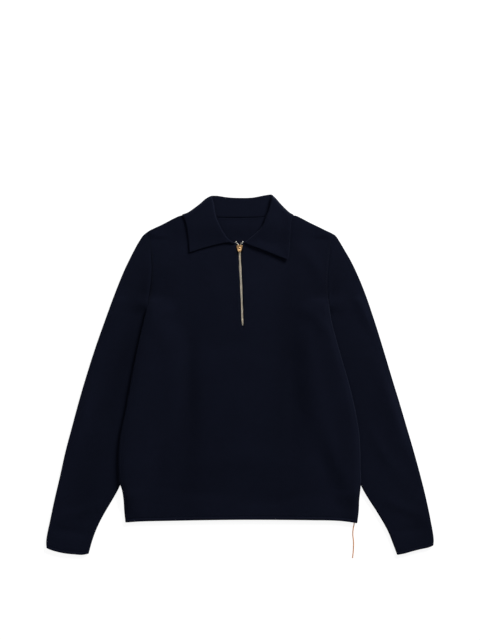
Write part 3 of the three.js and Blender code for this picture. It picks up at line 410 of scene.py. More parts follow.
def newObject(name, made):  # a smooth object from a bmesh, its faces turned outwards
    bmesh.ops.recalc_face_normals(made, faces=made.faces)
    mesh = bpy.data.meshes.new(name)
    made.to_mesh(mesh)
    made.free()
    mesh.polygons.foreach_set("use_smooth", [True] * len(mesh.polygons))
    piece = bpy.data.objects.new(name, mesh)
    scene.collection.objects.link(piece)
    return piece


def settle(piece, material, node, body="garment"):
    piece.data.materials.append(material)
    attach(piece, body)
    if node:
        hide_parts(node)
    return piece


def clothObject(name, x, y, z, u, v, rim, node, closed=False, thickness=wall, skip=None, material=knit):
    # a sheet of cloth through an array of places, in mm, with its flat places u and v as UV map
    rows, columns = x.shape
    inside = 1 - np.clip(rim / rimLook["reach"], 0, 1)
    full = rimLook["edge"] + (1 - rimLook["edge"]) * np.sqrt(1 - inside**2)
    made = bmesh.new()
    bmesh.ops.create_grid(made, x_segments=columns - 1, y_segments=rows - 1, size=1.0)
    flat = made.loops.layers.uv.new("flat")
    weights = made.verts.layers.deform.verify()
    tone = made.verts.layers.float.new("tone")
    # painted light and painted shade for each vertex, kept in the tone attribute
    patches = 0.5 + soft(paintedLightAndShade.get(name.replace("cloth_", ""), []), x, y)
    made.verts.ensure_lookup_table()
    place = {}
    for vert in made.verts:
        j = round((vert.co.x + 1) / 2 * (columns - 1))
        i = round((vert.co.y + 1) / 2 * (rows - 1))
        place[vert] = (i, j)
    for face in made.faces:
        for loop in face.loops:
            i, j = place[loop.vert]
            loop[flat].uv = (u[i, j] * mm, v[i, j] * mm)
    if skip is not None:
        gone = [f for f in made.faces if skip([place[vert] for vert in f.verts])]
        bmesh.ops.delete(made, geom=gone, context="FACES")
    for vert, (i, j) in place.items():
        if vert.is_valid:
            vert.co = (x[i, j] * mm, y[i, j] * mm, z[i, j] * mm)
            vert[weights][0] = float(full[i, j])
            vert[tone] = float(patches[i, j])
    if closed:  # the first and last columns meet in a seam where they lie together
        at = {where: vert for vert, where in place.items()}
        met = {at[i, columns - 1]: at[i, 0] for i in range(rows)
               if (at[i, columns - 1].co - at[i, 0].co).length < 0.05 * mm}
        bmesh.ops.weld_verts(made, targetmap=met)
    piece = newObject(name, made)
    shell = piece.modifiers.new("wall", "SOLIDIFY")
    shell.thickness = thickness * mm
    shell.offset = 0.0
    shell.use_even_offset = False
    piece.vertex_groups.new(name="full")
    shell.vertex_group = "full"
    return settle(piece, material, node)


# front and back
bodyLook = {"columns": 50, "rowsBelow": 100, "rowsAbove": 60, "hemTurn": 7.0, "hemGroove": 0.7,
            "seamDip": 0.8, "underDip": 1.5, "ridge": 2.0, "ridgeStart": 10.0, "ridgeEnd": 40.0}
slitLook = {"lowHalf": 1.4, "half": 2.9, "growth": 26.0, "sliderFrom": 250.6, "sliderRamp": 8.0, "aside": 3.1}
bodyFold = foldRadius - wall / 2


def slitHalf(y):  # half the slit's width, which grows upwards and gives way to the slider
    atSlider = smooth((y - slitLook["sliderFrom"]) / slitLook["sliderRamp"])
    grown = smooth((y - cloth["slitLow"]) / slitLook["growth"])
    return mix(slitLook["lowHalf"], slitLook["half"], grown) + slitLook["aside"] * atSlider


def bodyPanel(name, neck, sign, creaseList):
    fine = foldSteps(bodyFold, (2, 4.5, 8, 13, 19))
    even = np.linspace(0, 1, bodyLook["columns"] + 1)
    hemSteps = [0, 0.3, 0.7, 1.3, 2.6, 4, 5.2, 6.2, 7.0, 7.8, 8.8, 10.5, 13]
    middleSteps = [1.5, 0.8, 0.3, 0]
    low = cloth["slitLow"]

    def top(x):
        return np.where(np.abs(x) < cloth["neckHalf"], curve(neck, x), curve(shoulderLine, x))

    rows = [("hem", d) for d in hemSteps]
    rows += [("low", s) for s in np.linspace(0, 1, bodyLook["rowsBelow"])[1:]]
    rows += [("high", 1 - (1 - s) ** 1.4) for s in np.linspace(0, 1, bodyLook["rowsAbove"])[1:]]
    rows += [("top", d) for d in reversed(fine[:-1])]
    half = [("edge", d) for d in fine[:-1]] + [("even", s) for s in even]
    half += [("middle", d) for d in middleSteps[1:]]
    columns = [(-1, *c) for c in half] + [(1, *c) for c in reversed(half)]
    n, m = len(rows), len(columns)
    x = np.zeros((n, m))
    y = np.zeros((n, m))
    for j, (side, kind, value) in enumerate(columns):
        x[:, j] = side * {"edge": 230 - value, "even": mix(210, 4, value), "middle": 2 + value}[kind]
    for _ in range(8):
        bottom, high = curve(hemLine, x), top(x)
        shoulderColumn = np.abs(x) > cloth["neckHalf"]
        for i, (kind, value) in enumerate(rows):
            if kind == "hem":
                y[i] = bottom[i] + value
            elif kind == "low":
                y[i] = mix(bottom[i] + hemSteps[-1], low, value)
            elif kind == "high":
                y[i] = mix(low, high[i] - fine[-1], value)
            else:
                inset = np.where(shoulderColumn[i], 0, wall / 2)
                y[i] = high[i] - value + inset
        openness = smooth((y - cloth["armhole"][0]) / 12) * (1 - smooth((y - cloth["armhole"][1]) / 6))
        for j, (side, kind, value) in enumerate(columns):
            edge = curve(sides["right" if side < 0 else "left"], y[:, j])
            middle = curve(zipLine, y[:, j]) + side * (slitHalf(y[:, j]) if sign > 0 else 1.5)
            shift = wall / 2 * openness[:, j]
            if kind == "edge":
                x[:, j] = edge - side * (value - shift * (1 - value / fine[-1]))
            elif kind == "middle":
                x[:, j] = middle + side * value
            else:
                x[:, j] = mix(edge - side * fine[-1], middle + side * middleSteps[0], value)
    right, left = curve(sides["right"], y), curve(sides["left"], y)
    dSide = np.minimum(x - right, left - x)
    dTop = np.where(np.abs(x) > cloth["neckHalf"], curve(shoulderLine, x) - y, 99.0)
    sealed = np.minimum(mix(dSide, 2 * foldRadius, openness), dTop)
    height = foldHeight(sealed, bodyFold)
    z = lift(x, y) + foldRadius + sign * height
    rise = y - curve(hemLine, x)
    calm = smooth((dSide - 2) / 22) * smooth((top(x) - y - 4) / 20) * smooth((rise - 2) / 26)
    z += creaseGain * soft(creaseList, x, y) * calm
    if sign > 0:  # the front is fuller a little inside its side folds
        start, end = bodyLook["ridgeStart"], bodyLook["ridgeEnd"]
        ridge = smooth((dSide - 2) / start) * (1 - smooth((dSide - start - 3) / end)) * (1 - openness)
        z += bodyLook["ridge"] * ridge * smooth((rise - 4) / 24)
    groove = np.exp(-(rise - bodyLook["hemTurn"]) ** 2)
    band = 1 - smooth((rise - bodyLook["hemTurn"]) / 1.5)
    z += sign * (band * 0.25 - groove * bodyLook["hemGroove"])
    armSeam = np.exp(-(dSide / 2.2) ** 2) * openness
    deeper = 1 + bodyLook["underDip"] * (1 - smooth((y - cloth["armhole"][0]) / 90))
    z -= sign * armSeam * bodyLook["seamDip"] * deeper
    neckSeam = np.exp(-((np.abs(top(x) - y)) / 2.0) ** 2) * (np.abs(x) < cloth["neckHalf"])
    z -= sign * neckSeam * 0.6
    if sign < 0:
        z = np.maximum(z, wall / 2)
    slitRow = len(hemSteps) + bodyLook["rowsBelow"] - 2
    mid = len(half) - 1

    def skip(corners):  # faces across the slit
        inSlit = {j for i, j in corners} == {mid, mid + 1}
        return sign > 0 and inSlit and all(i >= slitRow for i, j in corners)

    rim = rimDistance(x, y, z, ("first", "last"))
    rim = np.minimum(rim, np.where(openness > 0.5, rimDistance(x, y, z, ("left", "right")), 99))
    if sign > 0:
        fromSlit = np.abs(x - curve(zipLine, y)) - slitHalf(y)
        rim[slitRow:] = np.minimum(rim, fromSlit)[slitRow:]
    return clothObject(name, x, y, z, x, y, rim, name.replace("cloth_", ""), skip=skip)


print("front and back")
front = bodyPanel("cloth_front", frontNeck, 1, creases["front"])
back = bodyPanel("cloth_back", backNeck, -1, creases["back"])

# sleeves
sleeveLook = {"columns": 22, "rows": 150, "cuffTurn": 6.0, "cuffGroove": 0.6,
              # the top of the sleeve reaches under the shoulder
              "headUnder": 10.0, "headFrom": 258.0, "headRise": 0.3, "foldShare": 0.42}
sleeveFold = sleeveStack / 2 - wall / 2


def sleeve(side, creaseList):
    lines = sleeveLines["right" if side < 0 else "left"]
    armhole = sides["right" if side < 0 else "left"]
    fine = foldSteps(sleeveFold, (2, 4.5, 8))
    even = list(np.linspace(0, 1, sleeveLook["columns"] + 1))
    cuffSteps = [0, 0.3, 0.7, 1.3, 2.6, 4.2, 5.2, 6.0, 6.8, 8, 10, 13]
    across = [("outer", d) for d in fine[:-1]] + [("even", s) for s in even]
    across += [("inner", d) for d in reversed(fine[:-1])]
    rows = [("cuff", d) for d in cuffSteps]
    rows += [("up", s) for s in np.linspace(0, 1, sleeveLook["rows"])[1:]]
    n, m = len(rows), len(across)
    x = np.zeros((n, m)) + side * 300
    y = np.zeros((n, m))

    def joined(y):  # 0 where the sleeve lies loose under the body, 1 where it is sewn to it
        return smooth((y - cloth["sewnFrom"]) / cloth["sewnRamp"])

    def innerEdge(y):
        hidden = curve(lines["inner"], y)
        head = smooth((y - sleeveLook["headFrom"]) / 20)
        under = cloth["seamGap"] + 7 * (1 - joined(y)) + sleeveLook["headUnder"] * head
        seam = curve(armhole, y) - side * under
        return mix(hidden, seam, smooth((y - cloth["tuckTop"] + 12) / 20))

    def foldFit(y):  # the folds get narrower where the sleeve ends in a point
        width = np.abs(curve(lines["outer"], y) - innerEdge(y))
        return np.minimum(1, sleeveLook["foldShare"] * width / fine[-1])

    for _ in range(8):
        bottom, head = curve(lines["cuff"], x), curve(shoulderLine, x) + sleeveLook["headRise"]
        for i, (kind, value) in enumerate(rows):
            y[i] = bottom[i] + value if kind == "cuff" else mix(bottom[i] + cuffSteps[-1], head[i], value)
        openness = smooth((y - cloth["armhole"][0]) / 12)
        for j, (kind, value) in enumerate(across):
            outer, inner = curve(lines["outer"], y[:, j]), innerEdge(y[:, j])
            fit = foldFit(y[:, j])
            shift = wall / 2 * openness[:, j]
            if kind == "outer":
                x[:, j] = outer - side * value * fit
            elif kind == "inner":
                x[:, j] = inner + side * (value - shift * (1 - value / fine[-1])) * fit
            else:
                x[:, j] = mix(outer - side * fine[-1] * fit, inner + side * fine[-1] * fit, value)
    dOuter = np.abs(curve(lines["outer"], y) - x)
    dInner = np.abs(x - innerEdge(y))
    half = sleeveStack / 2
    crown = (foldRadius - half) * smooth((y - 120) / 46) * smooth((dOuter - 4) / 20)
    d = np.minimum(dOuter, mix(dInner, 2 * half, openness))
    height = foldHeight(d / foldFit(y), sleeveFold) + crown
    middle = half + crown
    rise = y - curve(lines["cuff"], x)
    calm = smooth((d - 2) / 14) * smooth((cloth["sleeveTop"] - y) / 40) * smooth(rise / 30)
    tucked = 1 - smooth((side * (x - curve(armhole, y)) + 6) / 16)  # under the body
    wave = creaseGain * soft(creaseList, x, y) * calm * (1 - tucked)
    seam = np.exp(-(dInner / 2.2) ** 2) * openness * 0.8
    groove = np.exp(-(rise - sleeveLook["cuffTurn"]) ** 2) * sleeveLook["cuffGroove"]
    band = (1 - smooth((rise - sleeveLook["cuffTurn"]) / 1.5)) * 0.2
    upper = middle + height + wave - seam - groove + band
    lower = middle - height + np.maximum(0, wave) * 0.4 + seam * 0.6 + groove * 0.6
    edgeX = curve(armhole, y)
    hung = lift(edgeX, y) * joined(y) * (1 - smooth(dInner / 50)) * smooth(dOuter / 12)
    upper, lower = upper + hung, lower + hung
    # once round the tube: from the seam under the arm over the top and back underneath
    ring = list(range(m - 1, -1, -1))
    x2 = np.concatenate([x[:, ring], x[:, 1:]], axis=1)
    y2 = np.concatenate([y[:, ring], y[:, 1:]], axis=1)
    z2 = np.concatenate([upper[:, ring], lower[:, 1:]], axis=1)
    step = np.hypot(np.diff(x2, axis=1), np.diff(z2, axis=1))
    u = np.concatenate([np.zeros((n, 1)), np.cumsum(step, axis=1)], axis=1)
    u = u - u[:, [m - 1]]
    along = np.hypot(np.diff(x2, axis=0), np.diff(y2, axis=0)).mean(axis=1)
    v = np.concatenate([[0], np.cumsum(along)])[:, None] + np.zeros_like(u)
    name = "sleeve_right" if side < 0 else "sleeve_left"
    rim = rimDistance(x2, y2, z2, ("first", "last"))
    return clothObject("cloth_" + name, x2, y2, z2, u, v, rim, name, closed=True)


print("sleeves")
for side, key in ((-1, "sleeve_right"), (1, "sleeve_left")):
    piece = sleeve(side, creases[key])

# collar
collarLook = {"standSteps": 10, "fallSteps": 18, "frontSteps": 34, "backSteps": 46, "neckGap": 0.9,
              "rollFront": 1.6, "rollBack": 1.45, "leastWidth": 0.6,
              "turn": {"stand": 2.15, "fall": 5.2, "roll": 3.67},  # radii of the bends over the shoulders
              # how far a leaf's edge stands off the chest, and the width of the bend to it
              "curl": {"right": 0.2, "left": 1.7}, "curlReach": 24.0}


def arcLine(points):
    # dense smooth line through points, read by its share of the length
    p = np.array(points, float)
    chord = np.concatenate([[0], np.cumsum(np.sqrt(np.hypot(*np.diff(p, axis=0).T)))])
    t = np.linspace(0, chord[-1], 400)
    dense = np.array([curve(list(zip(chord, p[:, k])), t) for k in (0, 1)])
    length = np.concatenate([[0], np.cumsum(np.hypot(*np.diff(dense, axis=1)))])

    def at(share):
        s = np.asarray(share) * length[-1]
        return np.array([np.interp(s, length, dense[0]), np.interp(s, length, dense[1])])

    at.length = length[-1]
    return at


def patchOf(near, far, start, stop):
    # a smooth patch between two long lines and the two short ones that join their ends
    near, far, start, stop = (arcLine(p) for p in (near, far, start, stop))

    def at(lengthwise, across):
        n, f, a, b = near(lengthwise), far(lengthwise), start(across), stop(across)
        n0, n1, f0, f1 = near(0.0), near(1.0), far(0.0), far(1.0)
        shape = (2,) + (1,) * np.ndim(lengthwise)
        n0, n1, f0, f1 = (p.reshape(shape) for p in (n0, n1, f0, f1))
        return (mix(n, f, across) + mix(a, b, lengthwise)
                - mix(mix(n0, f0, across), mix(n1, f1, across), lengthwise))

    at.near, at.far = near, far
    return at


def collar():
    gap = collarLook["neckGap"]
    patches = {}
    for key, side in (("right", -1), ("left", 1)):
        leaf = leaves[key]
        seam = [(x - side * gap, y + gap) for x, y in frontNeck if np.sign(x) == side]
        seam.sort(key=lambda place: place[1])
        neckPoint, fold = seam[-1], leaf["roll"][-1]
        patches[key, "fall"] = patchOf(leaf["roll"], leaf["edge"], leaf["end"], leaf["brim"])
        patches[key, "stand"] = patchOf(leaf["roll"], seam, [leaf["roll"][0], seam[0]], [fold, neckPoint])
        patches[key, "side"] = [fold, neckPoint]
    backSeam = [(x * (1 - gap / cloth["neckHalf"]), y + gap) for x, y in backNeck]
    patches["back", "fall"] = patchOf(backFold, fallLine, leaves["right"]["brim"], leaves["left"]["brim"])
    patches["back", "stand"] = patchOf(backFold, backSeam, patches["right", "side"], patches["left", "side"])

    arc = [0, 0.25, 0.5, 0.75, 1.0]
    brim = [0.985, 0.994, 1.0]  # fine steps next to an open edge
    standShares, fallShares = ([("arc", a) for a in arc[1:]]
                               + [("flat", s) for s in [*np.linspace(0, 0.97, collarLook[steps])[1:], *brim]]
                               for steps in ("standSteps", "fallSteps"))
    rowsV = [("stand", *s) for s in reversed(standShares)] + [("fall", "arc", 0.0)]
    rowsV += [("fall", *s) for s in fallShares]
    closer = np.array([1 - b for b in reversed(brim)] + list(np.linspace(0.03, 1, collarLook["frontSteps"])))
    stations = [("right", "flat", s) for s in closer] + [("right", "arc", 1 - a) for a in arc[1:-1]]
    stations += [("apex-right", "arc", 0.0)]
    stations += [("back-right", "arc", a) for a in arc[1:-1]]
    stations += [("back", "flat", s) for s in np.linspace(0, 1, collarLook["backSteps"])]
    stations += [("back-left", "arc", 1 - a) for a in arc[1:-1]] + [("apex-left", "arc", 0.0)]
    stations += [("left", "arc", a) for a in arc[1:-1]] + [("left", "flat", s) for s in closer[::-1]]
    n, m = len(rowsV), len(stations)
    x, y, z = (np.zeros((n, m)) for _ in range(3))

    def rollPart(form, kind, value, width, radius):
        # distance from the roll's edge, as a share of the width, and height over its axis, as a share of
        # its radius
        width = max(width, collarLook["leastWidth"])
        reach = wall / 2 + radius
        fit = min(1.0, 0.8 * width / reach)
        if kind == "arc":
            angle = value * math.pi / 2
            d, rise = fit * (wall / 2 + radius * (1 - math.cos(angle))), math.sin(angle)
        else:
            d, rise = mix(fit * reach, width, value), 1.0
        return d / width, rise if form == "fall" else -rise

    for j, (region, stationKind, share) in enumerate(stations):
        for i, (form, kind, value) in enumerate(rowsV):
            found = []
            names = {"apex-right": ("right", "back"), "apex-left": ("left", "back"),
                     "back-right": ("back",), "back-left": ("back",)}.get(region, (region,))
            for name in names:
                front = name != "back"
                patch = patches[name, form]
                radius = collarLook["rollFront" if front else "rollBack"]
                span = mix(patch.near.length, patch.far.length, 0.5 if form == "fall" else 0.2)
                turn = collarLook["turn"][form]
                if kind == "arc" and value < 1:
                    turn = mix(collarLook["turn"]["roll"], turn, math.sin(value * math.pi / 2))
                if stationKind == "arc":
                    angle = abs(share) * math.pi / 2
                    ds = wall / 2 + turn * (1 - math.cos(angle))
                    rise = math.sin(angle)
                else:
                    ds, rise = None, 1.0
                margin = (wall / 2 + turn) / span
                if front:
                    lengthwise = 1 - ds / span if ds is not None else share * (1 - margin)
                elif ds is not None:
                    lengthwise = 1 - ds / span if region.endswith("left") else ds / span
                else:
                    lengthwise = mix(margin, 1 - margin, share)
                a, b = patch.near(lengthwise), patch.far(lengthwise)
                width = float(np.hypot(*(a - b)))
                across, sign = rollPart(form, kind, value, width, radius)
                px, py = patch(np.float64(lengthwise), np.float64(across))
                zFront = float(lift(px, py)) + stack + cloth["leafGap"] / 2 + sign * collarLook["rollFront"]
                if front and form == "fall":
                    fromRoll, fromEdge = across * width, (1 - across) * width
                    reach = collarLook["curlReach"]
                    nearEdge = max(1 - float(smooth(lengthwise * span / reach)),
                                   1 - float(smooth(fromEdge / reach)))
                    zFront += collarLook["curl"][name] * nearEdge * float(smooth(fromRoll / reach))
                zBack = wall + cloth["seamGap"] / 2 - sign * collarLook["rollBack"]
                centre = (zFront + zBack) / 2
                own = zFront if front else zBack
                found.append((px, py, mix(centre, own, rise)))
            x[i, j], y[i, j], z[i, j] = np.mean(found, axis=0)
    # relax the two folds over the shoulders, where the patches meet
    bend = np.zeros((n, m))
    for j, (region, stationKind, share) in enumerate(stations):
        if stationKind == "arc":
            bend[:, max(0, j - 3):j + 4] = 1.0
    for _ in range(6):
        for grid in (x, y, z):
            near = grid.copy()
            near[:, 1:-1] = (grid[:, :-2] + grid[:, 2:]) / 2
            across = grid.copy()
            across[1:-1] = (grid[:-2] + grid[2:]) / 2
            grid += bend * ((near + across) / 2 - grid) * 0.35
    steps = np.hypot(np.hypot(np.diff(x, axis=0), np.diff(y, axis=0)), np.diff(z, axis=0))
    v = np.concatenate([np.zeros((1, m)), np.cumsum(steps, axis=0)])
    run = np.hypot(np.diff(x, axis=1), np.diff(y, axis=1)).mean(axis=0)
    u = np.concatenate([[0], np.cumsum(run)])[None, :] + np.zeros((n, 1))
    rim = rimDistance(x, y, z, ("first", "last", "left", "right"))
    return clothObject("cloth_collar", x, y, z, u, v, rim, "collar")


print("collar")
collarPiece = collar()

# zip: tapes, teeth, splayed ends, bottom stop, slider and pull
zipLook = {
    "low": 102.5, "top": 272.6, "tapeWidth": 13.0, "tapeThick": 0.8, "tapeZ": 2.9, "chainZ": 4.0,
    "chainThick": 2.4,
    "swells": [(224, 0.22), (186, 0.2), (237, -0.16), (193, -0.14), (155, -0.16)],  # wider, narrower places
    "toothPitch": 1.55, "toothLength": 1.05, "chainHalf": 2.15, "lock": 0.55,
    "metal": (0.98, 0.91, 0.76), "dullMetal": (0.74, 0.63, 0.47), "silver": (0.90, 0.88, 0.82),
    "bronze": (0.76, 0.48, 0.23), "darkBronze": (0.24, 0.115, 0.042), "tape": (0.0052, 0.0060, 0.0115),
    "rib": 0.0008, "twill": 0.0009,  # widths of the tape's ribs and twill lines in metres
}


def zipX(y):
    return float(curve(zipLine, y))


def metalMaterial(name, bright, dull, rough, scale=420.0):
    material, start = newMaterial(name)
    place = start.node("ShaderNodeTexCoord", None, None, output=3)
    patches = start.noise(place, scale, 4.0, 0.6) * 0.55 + start.noise(place, scale / 7, 2.0) * 0.45
    grain = start.noise(place, scale * 9, 2.0)
    mask = ((patches - 0.38) * 4.2).clamped()
    normal = start.node("ShaderNodeBump", None, {"Strength": 0.25, "Distance": 0.00008, "Height": grain})
    finishMaterial(start, {"Base Color": mask.blend(rgb(dull), rgb(bright)), "Normal": normal,
                           "Roughness": rough + (1 - mask) * 0.22 + (grain - 0.5) * 0.1}, {"Metallic": 1.0})
    return material


def tapeMaterial():
    material, start = newMaterial("navy_tape")
    place = start.node("ShaderNodeUVMap", {"uv_map": "flat"})
    across, up = place.axes()
    across, up = across / zipLook["rib"], up / zipLook["twill"]
    zigzag = abs((across * 0.25).fraction() - 0.5) * 2.0
    twill = ((up + zigzag * 2.0) * math.pi * 2.0).sine() * 0.5 + 0.5
    ribs = (across * math.pi * 2.0).sine() * 0.5 + 0.5
    height = twill * 0.7 + ribs * 0.3
    normal = start.node("ShaderNodeBump", None, {"Strength": 0.6, "Distance": 0.00015, "Height": height})
    # the hollows of the ribs and twill get half the tape colour: painted shade following the weave's height
    dark = tuple(c * 0.5 for c in zipLook["tape"])
    finishMaterial(start, {"Base Color": height.blend(rgb(dark), rgb(zipLook["tape"])),
                           "Roughness": 0.85 - height * 0.1, "Normal": normal}, {"Specular IOR Level": 0.2})
    return material


paleMetal = metalMaterial("pale_metal", zipLook["metal"], zipLook["dullMetal"], 0.27)
silver = metalMaterial("silver_metal", zipLook["silver"], zipLook["metal"], 0.22)
bronze = metalMaterial("bronze", zipLook["bronze"], zipLook["darkBronze"], 0.25, 260.0)
navyTape = tapeMaterial()


def meshPiece(name, made, material, node=None, body="garment"):  # a hard piece from a bmesh in mm
    bmesh.ops.scale(made, vec=(mm,) * 3, verts=made.verts)
    piece = newObject(name, made)
    piece.data.set_sharp_from_angle(angle=math.radians(35))
    return settle(piece, material, node, body)


def addShape(whole, shape, matrix=None, keep=False):
    # adds one bmesh to another, moved by a matrix, and frees it unless it is used again
    carrier = bpy.data.meshes.new("carrier")
    shape.to_mesh(carrier)
    before = set(whole.verts)
    whole.from_mesh(carrier)
    bpy.data.meshes.remove(carrier)
    if matrix is not None:
        bmesh.ops.transform(whole, matrix=matrix, verts=[v for v in whole.verts if v not in before])
    if not keep:
        shape.free()


def plateShape(outline, low, high, round_, segments=2, hole=None):
    # a plate with rounded edges between two heights
    made = bmesh.new()
    loop = [made.verts.new((px, py, low)) for px, py in outline]
    ring = [made.edges.new((a, b)) for a, b in zip(loop, loop[1:] + loop[:1])]
    if hole:
        inner = [made.verts.new((px, py, low)) for px, py in hole]
        ring += [made.edges.new((a, b)) for a, b in zip(inner, inner[1:] + inner[:1])]
        bmesh.ops.bridge_loops(made, edges=ring)
    else:
        made.faces.new(loop)
    raised = bmesh.ops.extrude_face_region(made, geom=list(made.faces))["geom"]
    upper = [g for g in raised if isinstance(g, bmesh.types.BMVert)]
    bmesh.ops.translate(made, verts=upper, vec=(0, 0, high - low))
    bmesh.ops.recalc_face_normals(made, faces=made.faces)
    sharp = [e for e in made.edges if len(e.link_faces) == 2 and e.calc_face_angle() > math.radians(40)]
    bmesh.ops.bevel(made, geom=sharp, offset=round_, segments=segments, profile=0.5, affect="EDGES",
                    material=-1)
    return made


def chainHalf(y):  # half the chain's width
    swell = 1 + sum(share * math.exp(-((y - place) / 7) ** 2) for place, share in zipLook["swells"])
    return min(zipLook["chainHalf"] * swell, float(slitHalf(y)) - 0.1)


def toothShape(reach, half):
    # one tooth: a rounded block from the tape's cord past the middle, with a narrower head
    made = bmesh.new()
    bmesh.ops.create_cube(made, size=1.0)
    size = (half + reach, zipLook["toothLength"], zipLook["chainThick"] - 0.3)
    bmesh.ops.scale(made, vec=size, verts=made.verts)
    bmesh.ops.translate(made, verts=made.verts, vec=((half - reach) / 2, 0, 0))
    for v in made.verts:
        if v.co.x < 0:
            v.co.y *= 0.72
            v.co.z *= 0.8
    bmesh.ops.bevel(made, geom=list(made.edges), offset=0.22, segments=2, profile=0.5, affect="EDGES",
                    material=-1)
    return made


print("zip")
for side, name in ((-1, "right"), (1, "left")):
    rows, columns = 60, 8
    y = np.linspace(zipLook["low"] - 7, zipLook["top"] - 1.6, rows)[:, None] + np.zeros((1, columns))
    across = np.array([0.3, 0.9, 1.6, 3.0, 6.0, 9.0, 12.0, zipLook["tapeWidth"]])[None, :]
    x = curve(zipLine, y) + side * across
    z = np.full_like(x, zipLook["tapeZ"] + zipLook["tapeThick"] / 2)
    tape = clothObject("zip_tape_" + name + "_cloth", x, y, z, across + np.zeros_like(x), y,
                       np.full_like(x, 99), "zip_tape_" + name, thickness=zipLook["tapeThick"],
                       material=navyTape)

chain = bmesh.new()
middleZ = zipLook["chainZ"] + zipLook["chainThick"] / 2
y, count = zipLook["low"] + 4.2, 0
while y < zipLook["top"] - 6.0:
    side = 1 if count % 2 else -1
    half = chainHalf(y)
    tooth = toothShape(zipLook["lock"] * half / zipLook["chainHalf"], half)
    turn = Matrix.Rotation(0 if side > 0 else math.pi, 4, "Z")
    addShape(chain, tooth, Matrix.Translation((zipX(y), y, middleZ)) @ turn)
    y += zipLook["toothPitch"] / 2
    count += 1
meshPiece("zip_chain_teeth", chain, paleMetal, node="zip_chain")

endLook = {"teeth": 5, "spread": 4.2, "stopAside": 7.2}
for side, name in ((-1, "right"), (1, "left")):
    # the chain's half above the slider bends aside: its teeth and the stop at its end
    ending = bmesh.new()
    for k in range(endLook["teeth"]):
        t = (k + 0.4) / endLook["teeth"]
        py = zipLook["top"] + 0.6 + 5.6 * t
        px = zipX(py) + side * (1.9 + 1.4 * t + endLook["spread"] * t * t)
        lean = side * math.radians(-12 - 42 * t)
        block = toothShape(0.5, 1.5)
        turn = Matrix.Rotation(lean + (0 if side > 0 else math.pi), 4, "Z")
        addShape(ending, block, Matrix.Translation((px, py, middleZ + 0.9 * t)) @ turn)
    py = zipLook["top"] + 6.6
    px = zipX(py) + side * endLook["stopAside"]
    block = plateShape([(-1.5, -0.9), (1.5, -0.9), (1.5, 0.9), (-1.5, 0.9)], -1.2, 1.2, 0.4)
    turn = Matrix.Rotation(side * math.radians(-54), 4, "Z")
    addShape(ending, block, Matrix.Translation((px, py, middleZ + 1.1)) @ turn)
    meshPiece("zip_end_" + name + "_teeth", ending, silver, node="zip_end_" + name)

stop = plateShape([(-1.1, -1.1), (1.1, -1.1), (1.1, 1.1), (-1.1, 1.1)], zipLook["chainZ"],
                  zipLook["chainZ"] + zipLook["chainThick"], 0.35)
bmesh.ops.translate(stop, verts=stop.verts, vec=(zipX(zipLook["low"]), zipLook["low"] + 1.9, 0))
meshPiece("zip_bottom_stop", stop, paleMetal, node="zip_stop")

sliderLook = {"length": 12.0, "half": 6.1, "neck": 4.6, "plate": 1.3, "bridge": 2.3, "bar": 0.9,
              "pullLength": 9.6, "pullHalf": 3.3, "pullThick": 1.1, "pinRise": 0.95}
sliderY = zipLook["top"] - sliderLook["length"] / 2
sliderX = zipX(sliderY)
plateTop = zipLook["chainZ"] + zipLook["chainThick"] + 0.3 + sliderLook["plate"]
sliderPlace = Matrix.Translation((sliderX, sliderY, 0))


def sliderOutline(inset=0.0):
    h, w, n = sliderLook["length"] / 2 - inset, sliderLook["half"] - inset, sliderLook["neck"] - inset
    rightHalf = [(n, -h), (n + 0.3, -h + 2.5), (w, h * 0.25), (w, h * 0.7), (w - 1.1, h - 0.2), (1.2, h)]
    return rightHalf + [(-px, py) for px, py in reversed(rightHalf)]


body = bmesh.new()
addShape(body, plateShape(sliderOutline(), plateTop - sliderLook["plate"], plateTop, 0.42, 3), sliderPlace)
addShape(body, plateShape(sliderOutline(1.5), plateTop - 0.2, plateTop + 0.28, 0.2, 2), sliderPlace)
h = sliderLook["length"] / 2
for side in (-1, 1):  # flanges that run beside the teeth
    flange = [(2.75, -h + 0.1), (3.95, -h + 0.1), (4.3, -h + 2.5), (5.3, h * 0.25), (5.3, h * 0.7),
              (4.2, h - 0.4), (3.4, h * 0.5), (2.75, h * 0.1)][::side]
    flange = [(side * px, py) for px, py in flange]
    addShape(body, plateShape(flange, zipLook["chainZ"], plateTop - 0.6, 0.25), sliderPlace)
wedge = [(-0.3, 0.6), (0.3, 0.6), (1.3, 4.6), (0.6, 5.6), (-0.6, 5.6), (-1.3, 4.6)]
addShape(body, plateShape(wedge, zipLook["chainZ"], plateTop - 0.5, 0.2), sliderPlace)
bridge = bmesh.new()  # arch that holds the pull, spun from a rounded section
bmesh.ops.create_circle(bridge, cap_ends=True, segments=10, radius=sliderLook["bar"] / 2)
bmesh.ops.scale(bridge, vec=(1.0, 2.0, 1.0), verts=bridge.verts)
bmesh.ops.translate(bridge, verts=bridge.verts, vec=(sliderLook["bridge"], 0, 0))
bmesh.ops.spin(bridge, geom=list(bridge.faces), cent=(0, 0, 0), axis=(0, 1, 0), angle=-math.pi, steps=14,
               use_merge=False, use_duplicate=False)
turn = Matrix.Rotation(math.pi / 2, 4, "Z")
addShape(body, bridge, Matrix.Translation((sliderX, sliderY, plateTop - 0.05)) @ turn)
meshPiece("zip_slider_body", body, bronze, node="zip_slider")


def pullOutline():
    w, length = sliderLook["pullHalf"], sliderLook["pullLength"]
    points = [(w * 0.78, 0.5), (w * 0.9, -2.6), (w, -length + 2.6)]
    for a in (15, 35, 55, 75):
        angle = math.radians(a)
        points.append((w - 2.0 + 2.0 * math.cos(angle), -length + 2.0 - 2.0 * math.sin(angle)))
    return points + [(-px, py) for px, py in reversed(points)]


